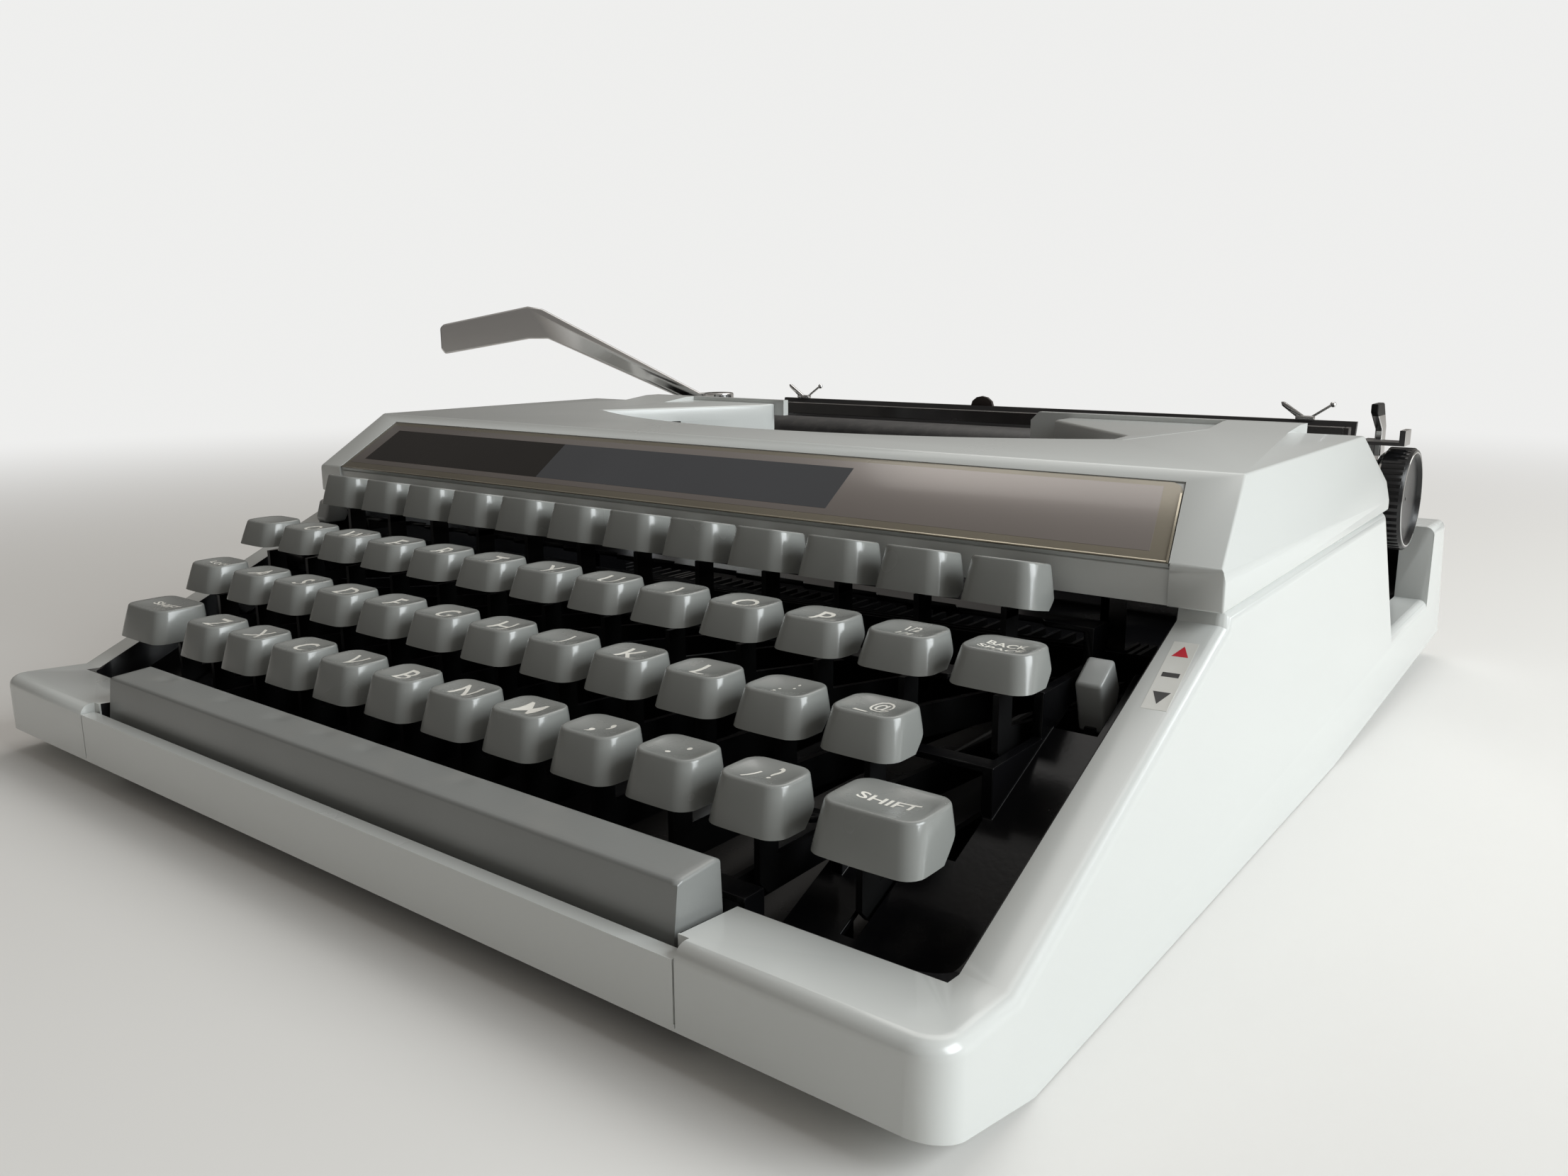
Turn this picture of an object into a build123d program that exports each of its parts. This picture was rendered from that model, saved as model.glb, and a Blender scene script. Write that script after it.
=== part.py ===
"""Portable manual typewriter, in mm. X is right, Y is to the back and Z is up.

The origin is on the table at the centre of the body's footprint.
"""

from build123d import *
import math
import os

os.makedirs("parts", exist_ok=True)

# Running clearance between pieces that move past each other
gap = 0.4
# Clearance between fixed pieces that rest by each other
seat_gap = 0.3

# Keyboard layout
key_pitch = 19.05
number_row_y = -72.5
number_row_top = 62.4
upper_row_y = -92.9
upper_row_top = 52.8
home_row_y = -111.0
home_row_top = 43.9
lower_row_y = -129.0
lower_row_top = 35.5
# Column of the first key in each row, counted in pitches from the centre line
number_row_start = -5.75
upper_row_start = -5.25
home_row_start = -5.0
lower_row_start = -4.5

# Key caps
cap_height = 8.4
cap_top_width = 12.2
cap_top_depth = 9.8
cap_foot_width = 14.4
cap_foot_depth = 12.0
cap_corner = 3.2
cap_lean = 1.0
cap_dish_radius = 34.0
cap_dish_depth = 0.6
shift_extra_width = 5.0
shift_extra_depth = 2.6
shift_cap_x = 108.2
shift_cap_y = lower_row_y + 1.6

# Key levers, which all turn on one bar across the machine
lever_thickness = 1.2
lever_height = 6.0
fulcrum_y = 40.0
fulcrum_z = 14.0
fulcrum_side = 3.0
lever_tail = 5.0
lever_rear_top = 19.0
lever_drop = 7.0
stem_depth = 5.0
shift_lever_x = 5.5 * key_pitch
shift_tie_side = 4.0
shift_tie_y = 49.0
shift_tie_z = 12.0

# Space bar
bar_half_length = 89.0
bar_top_z = 26.4
bar_top_front_y = -154.2
bar_top_back_y = -144.6
bar_foot_front_y = -155.9
bar_foot_z = 12.0
bar_lever_x = 4.375 * key_pitch
bar_lever_top_z = 18.0
bar_toe_height = 1.5

# Body shell
body_half_width = 137.5
body_front_y = -160.0
body_rear_y = 160.0
body_floor_z = 0.0
chin_z = 6.5
chin_back_y = -134.0
chin_wall = 1.2
rail_top_front_z = 20.2
rail_top_back_z = 18.6
arm_bend_y = -140.0
arm_top_y = -62.0
arm_top_z = 53.6
seam_front_y = -65.5
seam_front_z = 56.2
seam_rear_y = 62.0
seam_rear_z = 58.8
notch_front_y = 86.0
notch_floor_z = 21.5
notch_rear_y = 133.0
wing_top_z = 45.0
wing_rear_y = 151.0
tail_rise_y = 30.0
tail_z = 8.0
body_wall = 3.0
well_half_width = 128.0
well_front_y = -143.0
well_corner = 6.0
shelf_half_width = 105.0
rear_wall = 12.0
corner_radius = 6.0
edge_radius = 2.5
lip_half_length = 93.0
lip_thickness = 3.0
lip_top_z = 17.9
pocket_half_length = 91.0
foot_radius = 8.0
foot_x = 112.0
foot_y = 112.0

# Ribbon cover
cover_lip_z = 64.4
cover_crest_y = -44.7
cover_top_z = 78.9
cover_top_rear_y = 48.0
cover_rear_y = 63.0
cover_rear_z = 66.5
cover_top_half_width = 133.4
cover_shell = 2.4
cover_band = 2.4
cover_lip_step = 1.0
panel_recess = 1.6
panel_foot_half_width = 127.0
panel_head_half_width = 123.0
panel_thickness = 1.0
# Foot and head of the panel, measured up the slope from its middle
panel_foot = -12.4
panel_head = 9.0
mouth_half_width = 88.0
mouth_front_y = -21.0
mouth_corner_y = 6.0
mouth_rear_half_width = 96.0
mouth_shoulder = 20.0
mouth_wall_y = 60.4
mouth_wall_top_z = 80.2
left_wall_end_x = -68.0
right_wall_foot_x = 50.0
right_wall_step_z = 68.0
right_wall_end_x = 38.0
right_wall_chamfer = 2.5
mouth_tab_reach = 13.0
mouth_tab_radius = 2.6

# Carriage and platen
platen_y = 112.0
platen_z = 55.8
platen_radius = 14.5
platen_half_length = 115.5
shaft_radius = 4.0
shaft_clearance = 0.06
knob_radius = 15.3
knob_inner_x = 125.0
knob_outer_x = 134.5
knob_dish = 2.0
knob_rim = 1.6
end_plate_inner_x = 118.5
end_plate_outer_x = 121.0
end_plate_front_y = 94.0
end_plate_rear_y = 130.0
end_plate_top_z = 72.0
carriage_floor_z = 30.0
carriage_bed_top_z = 35.0
bed_front_y = 98.0
bed_rear_y = 128.0
table_thickness = 1.6
table_foot_y = 128.5
table_foot_z = 46.0
table_head_y = 136.0
table_head_z = 75.5
table_half_length = 112.0
stop_x = 97.0
stop_reach = 6.0
stop_top_z = 80.0
lug_x = -7.5
release_tab_z = 76.0
release_tab_front_y = 104.0
release_tab_rear_y = 111.6

# Paper bail
bail_pivot_y = 99.0
bail_pivot_z = 46.0
bail_bar_y = 102.0
bail_bar_top_z = 76.4
bail_bar_depth = 3.0
bail_bar_height = 4.0
bail_arm_width = 5.0
bail_arm_inner_x = 116.4
bail_arm_thickness = 1.4
bail_pin_radius = 1.8

# Carriage return lever
return_hub_x = -129.5
return_hub_y = 114.0
return_hub_radius = 6.0
return_post_radius = 3.0
return_hub_z = 73.0
return_hub_height = 5.0
return_angle = 216.0
return_blade_thickness = 2.0
return_blade_height = 13.0
return_bend_reach = 76.0
return_bend_top_z = 113.0
return_tip_reach = 114.5
return_tip_top_z = 106.0

# Paper release lever
release_x = 121.6
release_thickness = 2.0
release_pivot_y = 118.0
release_pivot_z = 64.0
release_pin_radius = 2.0
release_tip_y = 107.5
release_tip_z = 83.0

# Ribbon colour selector and the small lever on the left
selector_x = 118.6
selector_y = -73.0
selector_top_z = 47.5
selector_pivot_z = 12.0
left_lever_x = -122.4
left_lever_y = -72.0
left_lever_top_z = 57.5
side_arm_width = 7.0
side_arm_thickness = 2.0

# Black plates in the keyboard well
plate_thickness = 1.2
side_plate_front_z = 8.0
side_plate_slope = 0.45
side_plate_inner_x = 113.0
scallop_width = 12.0
scallop_depth = 1.6
scallop_angle = 50.0
strip_half_length = 112.5
short_strip_half_length = 97.0
side_slot_gap = 0.8
left_plate_inner_x = 120.6
rib_outer_x = 114.6
well_plate_chamfer = 4.3

# Type basket
type_count = 44
print_y = 97.0
print_z = 62.0
type_radius = 50.0
type_tilt = 30.0
type_end_angle = 24.0
type_bar_thickness = 1.0
type_bar_height = 4.0
segment_thickness = 7.0
segment_rim = 5.0
segment_lip = 4.0
type_head_width = 2.8
type_head_height = 2.2
spool_radius = 21.0
spool_height = 9.0
spool_x = 84.0
spool_y = 8.0
spool_post_x = 18.5 * key_pitch / 4
spool_top_z = 74.0


def save(builder, name):
    """Label a finished piece and write it to its own file."""
    builder.part.label = name
    export_step(builder.part, "parts/" + name + ".step")


def half_slot():
    """Half the side of the square slot that hooks a lever on its bar."""
    return fulcrum_side / 2 + gap


def lever_outline(front_y, cap_foot_z):
    """Side outline of one key lever, hooked over the fulcrum bar at its tail."""
    half = half_slot()
    tail_y = fulcrum_y + lever_tail
    front_top = cap_foot_z - lever_drop
    return [
        (front_y - stem_depth / 2, cap_foot_z - seat_gap),
        (front_y + stem_depth / 2, cap_foot_z - seat_gap),
        (front_y + stem_depth / 2, front_top),
        (fulcrum_y - lever_tail, lever_rear_top),
        (tail_y, lever_rear_top),
        (tail_y, fulcrum_z - half),
        (fulcrum_y + half, fulcrum_z - half),
        (fulcrum_y + half, fulcrum_z + half),
        (fulcrum_y - half, fulcrum_z + half),
        (fulcrum_y - half, fulcrum_z - half),
        (fulcrum_y - lever_tail, fulcrum_z - half),
        (front_y, front_top - lever_height),
        (front_y - stem_depth / 2, front_top - lever_height + stem_depth / 2),
    ]


def lever_part(lever_x, front_y, cap_foot_z):
    """Return one thin key lever."""
    with BuildPart() as lever:
        with BuildSketch(Plane.YZ.offset(lever_x)):
            with BuildLine():
                Polyline(*lever_outline(front_y, cap_foot_z), close=True)
            make_face()
        extrude(amount=lever_thickness / 2, both=True)
    return lever.part


def cap_part(cap_x, cap_y, top_z, extra_width=0.0, extra_depth=0.0):
    """Return one tapered key cap with a dished top."""
    foot_z = top_z - cap_height
    with BuildPart() as cap:
        with BuildSketch(Plane((cap_x, cap_y - cap_lean, foot_z))):
            RectangleRounded(cap_foot_width + extra_width, cap_foot_depth + extra_depth, cap_corner)
        with BuildSketch(Plane((cap_x, cap_y, top_z))):
            RectangleRounded(cap_top_width + extra_width, cap_top_depth + extra_depth, cap_corner)
        loft()
        dish_z = top_z + cap_dish_radius - cap_dish_depth
        with BuildSketch(Plane((cap_x, cap_y, dish_z), z_dir=(0, 1, 0))):
            Circle(cap_dish_radius)
        extrude(amount=cap_foot_depth + extra_depth, both=True, mode=Mode.SUBTRACT)
    return cap.part


def make_key(name, key_x, key_y, top_z):
    """Make one key: a cap standing on its lever."""
    cap = cap_part(key_x, key_y, top_z)
    lever = lever_part(key_x, key_y, top_z - cap_height)
    with BuildPart() as key:
        add(cap)
        add(lever)
    save(key, name)


def make_row(names, start, key_y, top_z):
    """Make a row of keys at one pitch."""
    for index, name in enumerate(names):
        make_key(name, (start + index) * key_pitch, key_y, top_z)


def make_shift_keys():
    """Make the two shift keys and the tie bar that joins their levers behind the fulcrum."""
    link_front_y = fulcrum_y + half_slot() + 1.0
    link_rear_y = shift_tie_y - shift_tie_side / 2 - seat_gap
    foot_z = lower_row_top - cap_height
    caps = [
        cap_part(side * shift_cap_x, shift_cap_y, lower_row_top, shift_extra_width, shift_extra_depth)
        for side in (-1, 1)
    ]
    levers = [lever_part(side * shift_lever_x, shift_cap_y, foot_z) for side in (-1, 1)]
    with BuildPart() as shift_keys:
        add(caps)
        add(levers)
        for side in (-1, 1):
            with Locations((side * shift_lever_x, (link_front_y + link_rear_y) / 2, shift_tie_z)):
                Box(lever_thickness, link_rear_y - link_front_y, shift_tie_side)
        with Locations((0, shift_tie_y, shift_tie_z)):
            Box(2 * shift_lever_x + lever_thickness, shift_tie_side, shift_tie_side)
    save(shift_keys, "key_shift_pair")


def make_space_bar():
    """Make the space bar on its two levers."""
    bar_rear_y = bar_top_back_y + 0.8
    profile = [
        (bar_foot_front_y, bar_foot_z),
        (bar_top_front_y, bar_top_z),
        (bar_top_back_y, bar_top_z + 0.5),
        (bar_rear_y, bar_foot_z),
    ]
    half = half_slot()
    lever = [
        (bar_rear_y - stem_depth, bar_foot_z - seat_gap),
        (bar_rear_y + seat_gap, bar_foot_z - seat_gap),
        (bar_rear_y + seat_gap, bar_lever_top_z),
        (fulcrum_y - lever_tail, lever_rear_top),
        (fulcrum_y + lever_tail, lever_rear_top),
        (fulcrum_y + lever_tail, fulcrum_z - half),
        (fulcrum_y + half, fulcrum_z - half),
        (fulcrum_y + half, fulcrum_z + half),
        (fulcrum_y - half, fulcrum_z + half),
        (fulcrum_y - half, fulcrum_z - half),
        (fulcrum_y - lever_tail, fulcrum_z - half),
        (bar_rear_y + stem_depth, bar_lever_top_z - lever_height),
        (bar_rear_y - stem_depth, bar_foot_z - seat_gap - bar_toe_height),
    ]
    with BuildPart() as space_bar:
        with BuildSketch(Plane.YZ):
            with BuildLine():
                Polyline(*profile, close=True)
            make_face()
        extrude(amount=bar_half_length, both=True)
        for side in (-1, 1):
            with BuildSketch(Plane.YZ.offset(side * bar_lever_x)):
                with BuildLine():
                    Polyline(*lever, close=True)
                make_face()
            extrude(amount=lever_thickness / 2, both=True)
    save(space_bar, "key_space_bar")


def body_profile():
    """Side outline of the body shell."""
    return [
        (body_front_y, chin_z),
        (body_front_y, rail_top_front_z),
        (arm_bend_y, rail_top_back_z),
        (arm_top_y, arm_top_z),
        (arm_top_y + 0.5, seam_front_z),
        (seam_rear_y, seam_rear_z),
        (notch_front_y, notch_floor_z),
        (notch_rear_y, notch_floor_z + 1.0),
        (notch_rear_y, wing_top_z),
        (wing_rear_y, wing_top_z),
        (body_rear_y, tail_z),
        (tail_rise_y, body_floor_z),
        (chin_back_y, body_floor_z),
    ]


def corner_uprights(edges):
    """Return the edges that run straight up."""
    return [edge for edge in edges if abs(edge.tangent_at(0.5).Z) > 0.99]


def make_base_shell():
    """Make the body shell, its front lip and its feet."""
    with BuildPart() as base_shell:
        with BuildSketch(Plane.YZ):
            with BuildLine():
                Polyline(*body_profile(), close=True)
            make_face()
        extrude(amount=body_half_width, both=True)
        # Round the upright corners
        corners = base_shell.edges().filter_by(Axis.Z)
        front_corners = corners.group_by(Axis.Y)[0]
        fillet(front_corners, corner_radius)
        # Soften the outer edges along the top
        side_edges = [
            edge
            for edge in base_shell.edges()
            if abs(edge.center().Z) > chin_z + 4.0 and abs(edge.center().X) > body_half_width - corner_radius
        ]
        fillet([edge for edge in side_edges if edge not in corner_uprights(side_edges)], edge_radius)
        # Keyboard well and the space under the cover
        with BuildSketch(Plane.XY.offset(body_floor_z + body_wall)):
            with Locations((0, (well_front_y + seam_rear_y) / 2)):
                RectangleRounded(2 * well_half_width, seam_rear_y - well_front_y, well_corner)
        extrude(amount=cover_top_z, mode=Mode.SUBTRACT)
        # Space behind the cover, between the shelves beside the carriage
        bay_front_y = seam_rear_y - 2 * well_corner
        bay_rear_y = body_rear_y - rear_wall
        with BuildSketch(Plane.XY.offset(tail_z + body_wall)):
            with Locations((0, (bay_front_y + bay_rear_y) / 2)):
                Rectangle(2 * shelf_half_width, bay_rear_y - bay_front_y)
        extrude(amount=cover_top_z, mode=Mode.SUBTRACT)
        # Recess for the rear of the carriage above the shelves
        with BuildSketch(Plane.XY.offset(notch_floor_z)):
            with Locations((0, (seam_rear_y + notch_rear_y) / 2)):
                Rectangle(2 * well_half_width, notch_rear_y - seam_rear_y)
        extrude(amount=cover_top_z, mode=Mode.SUBTRACT)
        with BuildSketch(Plane.XY.offset(wing_top_z - 22.0)):
            with Locations((0, (notch_rear_y + bay_rear_y) / 2)):
                Rectangle(2 * well_half_width, bay_rear_y - notch_rear_y)
        extrude(amount=cover_top_z, mode=Mode.SUBTRACT)
        # Pocket for the space bar, closed at the front by the lip
        with BuildSketch(Plane.XY.offset(body_floor_z + body_wall)):
            with Locations((0, (body_front_y + well_front_y) / 2)):
                Rectangle(2 * pocket_half_length, well_front_y - body_front_y + 2 * well_corner)
        extrude(amount=cover_top_z, mode=Mode.SUBTRACT)
        lip_foot_z = chin_z + chin_wall / 2
        with BuildSketch(Plane.XY.offset(lip_foot_z)):
            with Locations((0, body_front_y)):
                Rectangle(2 * (lip_half_length + gap / 2), 2 * (lip_thickness + gap))
        extrude(amount=cover_top_z, mode=Mode.SUBTRACT)
        # Close the underside of the pocket again along the chin
        with BuildSketch(Plane.YZ):
            with BuildLine():
                Polyline(
                    (body_front_y, chin_z),
                    (chin_back_y, body_floor_z),
                    (chin_back_y, body_floor_z + body_wall),
                    (well_front_y, body_floor_z + body_wall),
                    (body_front_y, chin_z + chin_wall),
                    close=True,
                )
            make_face()
        extrude(amount=lip_half_length, both=True)
        # Front lip
        with Locations((0, body_front_y + lip_thickness / 2, (lip_top_z + lip_foot_z) / 2)):
            Box(2 * (lip_half_length - gap / 2), lip_thickness, lip_top_z - lip_foot_z)
        # Rear feet, which level the body on its flat underside
        for side in (-1, 1):
            with Locations((side * foot_x, foot_y, tail_z / 2)):
                Cylinder(foot_radius, tail_z)
    save(base_shell, "base_shell")


def cover_profile(inset):
    """Side outline of the ribbon cover, moved inwards by the inset."""
    return [
        (seam_front_y + inset, seam_front_z + gap),
        (seam_front_y + inset, cover_lip_z - inset * 0.3),
        (cover_crest_y + inset * 0.3, cover_top_z - inset),
        (cover_top_rear_y - inset * 0.3, cover_top_z - inset),
        (cover_rear_y - inset, cover_rear_z - inset * 0.4),
        (seam_rear_y - inset, seam_rear_z + gap),
    ]


def mouth_shoulder_part(side):
    """Return the shoulder that steps down to the upright wall beside the mouth."""
    shoulder = [
        (mouth_wall_y - 16.0, cover_top_z - cover_shell),
        (mouth_wall_y - 16.0, cover_top_z),
        (mouth_wall_y - 4.0, mouth_wall_top_z),
        (cover_rear_y, mouth_wall_top_z),
        (cover_rear_y, cover_rear_z - 1.0),
        (mouth_wall_y, cover_rear_z - 1.0),
        (mouth_wall_y, mouth_wall_top_z - cover_shell),
    ]
    with BuildPart() as wall:
        with BuildSketch(Plane.YZ.offset(side * mouth_rear_half_width)):
            with BuildLine():
                Polyline(*shoulder, close=True)
            make_face()
        extrude(amount=side * mouth_shoulder)
    return wall.part


def mouth_walls_part():
    """Return the upright walls at the rear of the mouth, the left one with its rounded tab."""
    foot_z = seam_rear_z + gap
    root_x = mouth_rear_half_width + 1.0
    left_wall = [
        (-root_x, foot_z),
        (left_wall_end_x, foot_z),
        (left_wall_end_x, mouth_wall_top_z),
        (-root_x, mouth_wall_top_z),
    ]
    right_wall = [
        (root_x, foot_z),
        (right_wall_foot_x, foot_z),
        (right_wall_foot_x, right_wall_step_z),
        (right_wall_end_x, right_wall_step_z),
        (right_wall_end_x, mouth_wall_top_z - right_wall_chamfer),
        (right_wall_end_x + right_wall_chamfer, mouth_wall_top_z),
        (root_x, mouth_wall_top_z),
    ]
    tab_z = mouth_wall_top_z - mouth_tab_radius
    tab_length = mouth_tab_reach - mouth_tab_radius
    with BuildPart() as walls:
        with BuildSketch(Plane.XZ.offset(-cover_rear_y)):
            for wall in (left_wall, right_wall):
                with BuildLine():
                    Polyline(*wall, close=True)
                make_face()
            with Locations((left_wall_end_x + tab_length / 2, tab_z)):
                Rectangle(tab_length + 2 * mouth_tab_radius, 2 * mouth_tab_radius)
            with Locations((left_wall_end_x + tab_length, tab_z)):
                Circle(mouth_tab_radius)
        extrude(amount=cover_rear_y - mouth_wall_y)
    return walls.part


def panel_part(depth, top_depth, margin, foot_run):
    """Return the trim panel, or the space it takes, below the sloping front by two depths."""
    slope = Vector(0, cover_crest_y - seam_front_y, cover_top_z - cover_lip_z)
    middle = (0, (seam_front_y + cover_crest_y) / 2, (cover_lip_z + cover_top_z) / 2)
    face = Plane(origin=middle, x_dir=(1, 0, 0), z_dir=Vector(1, 0, 0).cross(slope))
    taper = (panel_foot_half_width - panel_head_half_width) / (panel_head - panel_foot)
    foot = panel_foot - foot_run
    head = panel_head + margin
    foot_half_width = panel_foot_half_width + margin + foot_run * taper
    with BuildPart() as panel:
        with BuildSketch(face.offset(-depth)):
            with BuildLine():
                Polyline(
                    (-foot_half_width, foot),
                    (foot_half_width, foot),
                    (panel_head_half_width + margin, head),
                    (-panel_head_half_width - margin, head),
                    close=True,
                )
            make_face()
        extrude(amount=depth - top_depth)
    return panel.part


def make_ribbon_cover():
    """Make the lift-off ribbon cover and the trim panel on its sloping front."""
    with BuildPart() as ribbon_cover:
        with BuildSketch(Plane.YZ):
            with BuildLine():
                Polyline(*cover_profile(0.0), close=True)
            make_face()
        extrude(amount=body_half_width, both=True)
        # Lean the side faces inwards
        for side in (-1, 1):
            band_z = cover_lip_z - cover_band
            wedge = [
                (side * body_half_width, band_z),
                (side * (body_half_width + 1), band_z),
                (side * (body_half_width + 1), cover_top_z + 1),
                (side * (cover_top_half_width - 0.3), cover_top_z + 1),
            ]
            with BuildSketch(Plane.XZ.offset(-cover_rear_y - 1)):
                with BuildLine():
                    Polyline(*wedge, close=True)
                make_face()
            extrude(amount=cover_rear_y - seam_front_y + 2, mode=Mode.SUBTRACT)
        # Hollow inside, open at the bottom
        hollow = cover_profile(cover_shell)
        below_z = seam_front_z - 1.0
        with BuildSketch(Plane.YZ):
            with BuildLine():
                Polyline(
                    (hollow[0][0], below_z),
                    *hollow[1:-1],
                    (hollow[-1][0], below_z),
                    close=True,
                )
            make_face()
        extrude(amount=cover_top_half_width - cover_shell - 1.0, both=True, mode=Mode.SUBTRACT)
        # Mouth above the type basket, open to the rear
        with BuildSketch(Plane.XY.offset(cover_rear_z - 10)):
            with BuildLine():
                ThreePointArc((-mouth_half_width, mouth_corner_y), (0, mouth_front_y), (mouth_half_width, mouth_corner_y))
                Line((mouth_half_width, mouth_corner_y), (mouth_rear_half_width, cover_rear_y + 5))
                Line((mouth_rear_half_width, cover_rear_y + 5), (-mouth_rear_half_width, cover_rear_y + 5))
                Line((-mouth_rear_half_width, cover_rear_y + 5), (-mouth_half_width, mouth_corner_y))
            make_face()
        extrude(amount=40.0, mode=Mode.SUBTRACT)
        add([mouth_shoulder_part(-1), mouth_shoulder_part(1), mouth_walls_part()])
        # Step along the lip below the trim panel
        with Locations((0, seam_front_y, cover_lip_z - 5.0)):
            Box(2 * (panel_foot_half_width + gap), 2 * cover_lip_step, 10.0, mode=Mode.SUBTRACT)
        # Recess for the trim panel, open at the fold, and the panel in it
        add(panel_part(panel_recess, 0.0, gap / 2, 2.0), mode=Mode.SUBTRACT)
        panel_top = panel_recess - seat_gap - panel_thickness
        add(panel_part(panel_recess - seat_gap, panel_top, 0.0, 0.0))
    save(ribbon_cover, "ribbon_cover")


def make_platen():
    """Make the platen roller, the two ends of its shaft and the two knobs seated on them."""
    shaft_inner_x = platen_half_length + seat_gap
    shaft_outer_x = knob_inner_x - seat_gap
    with BuildPart() as platen:
        with BuildSketch(Plane.YZ):
            with Locations((platen_y, platen_z)):
                Circle(platen_radius)
        extrude(amount=platen_half_length, both=True)
        for side in (-1, 1):
            with BuildSketch(Plane.YZ.offset(side * shaft_inner_x)):
                with Locations((platen_y, platen_z)):
                    Circle(shaft_radius)
            extrude(amount=side * (shaft_outer_x - shaft_inner_x))
            with BuildSketch(Plane.YZ.offset(side * knob_inner_x)):
                with Locations((platen_y, platen_z)):
                    Circle(knob_radius)
            extrude(amount=side * (knob_outer_x - knob_inner_x))
            with BuildSketch(Plane.YZ.offset(side * (knob_outer_x - knob_dish))):
                with Locations((platen_y, platen_z)):
                    Circle(knob_radius - knob_rim)
            extrude(amount=side * (knob_dish + 1.0), mode=Mode.SUBTRACT)
    save(platen, "platen")


def box_between(low, high):
    """Return a box given by two opposite corners."""
    with BuildPart() as box:
        centre = [(a + b) / 2 for a, b in zip(low, high)]
        size = [b - a for a, b in zip(low, high)]
        with Locations(tuple(centre)):
            Box(*size)
    return box.part


def plate_z(y):
    """Height of the underside of the sloping plates beside the keys."""
    return side_plate_front_z + side_plate_slope * (y - well_front_y)


def side_plate_part(low_x, high_x, front_y, rear_y):
    """Return one sloping black plate of the keyboard well."""
    with BuildPart() as plate:
        with BuildSketch(Plane.YZ.offset(low_x)):
            with BuildLine():
                Polyline(
                    (front_y, plate_z(front_y)),
                    (rear_y, plate_z(rear_y)),
                    (rear_y, plate_z(rear_y) + plate_thickness),
                    (front_y, plate_z(front_y) + plate_thickness),
                    close=True,
                )
            make_face()
        extrude(amount=high_x - low_x)
    return plate.part


def rib_part(strips):
    """Return the stepped rib on the right that carries the ends of the strips."""
    starts = [strip[0] for strip in strips]
    ends = starts[1:] + [strips[-1][1]]
    steps = []
    for start_y, end_y, strip in zip(starts, ends, strips):
        head_z = strip[2] + plate_thickness
        steps += [(start_y, head_z), (end_y, head_z)]
    with BuildPart() as rib:
        with BuildSketch(Plane.YZ.offset(strip_half_length)):
            with BuildLine():
                Polyline(
                    *steps,
                    (ends[-1], plate_z(ends[-1])),
                    (starts[0], plate_z(starts[0])),
                    close=True,
                )
            make_face()
        extrude(amount=rib_outer_x - strip_half_length)
    return rib.part


def strip_part(front_y, rear_y, foot_z, column_offset, half_length):
    """Return one black strip between two key rows, notched in front of every key stem."""
    columns = range(-5, 6)
    with BuildPart() as strip:
        with BuildSketch(Plane.XY.offset(foot_z)):
            with Locations((0, (front_y + rear_y) / 2)):
                Rectangle(2 * half_length, rear_y - front_y)
            notch_places = [((n + column_offset) * key_pitch, front_y) for n in columns]
            with Locations(*notch_places):
                Trapezoid(scallop_width, 2 * scallop_depth, scallop_angle, mode=Mode.SUBTRACT)
        extrude(amount=plate_thickness)
    return strip.part


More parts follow.
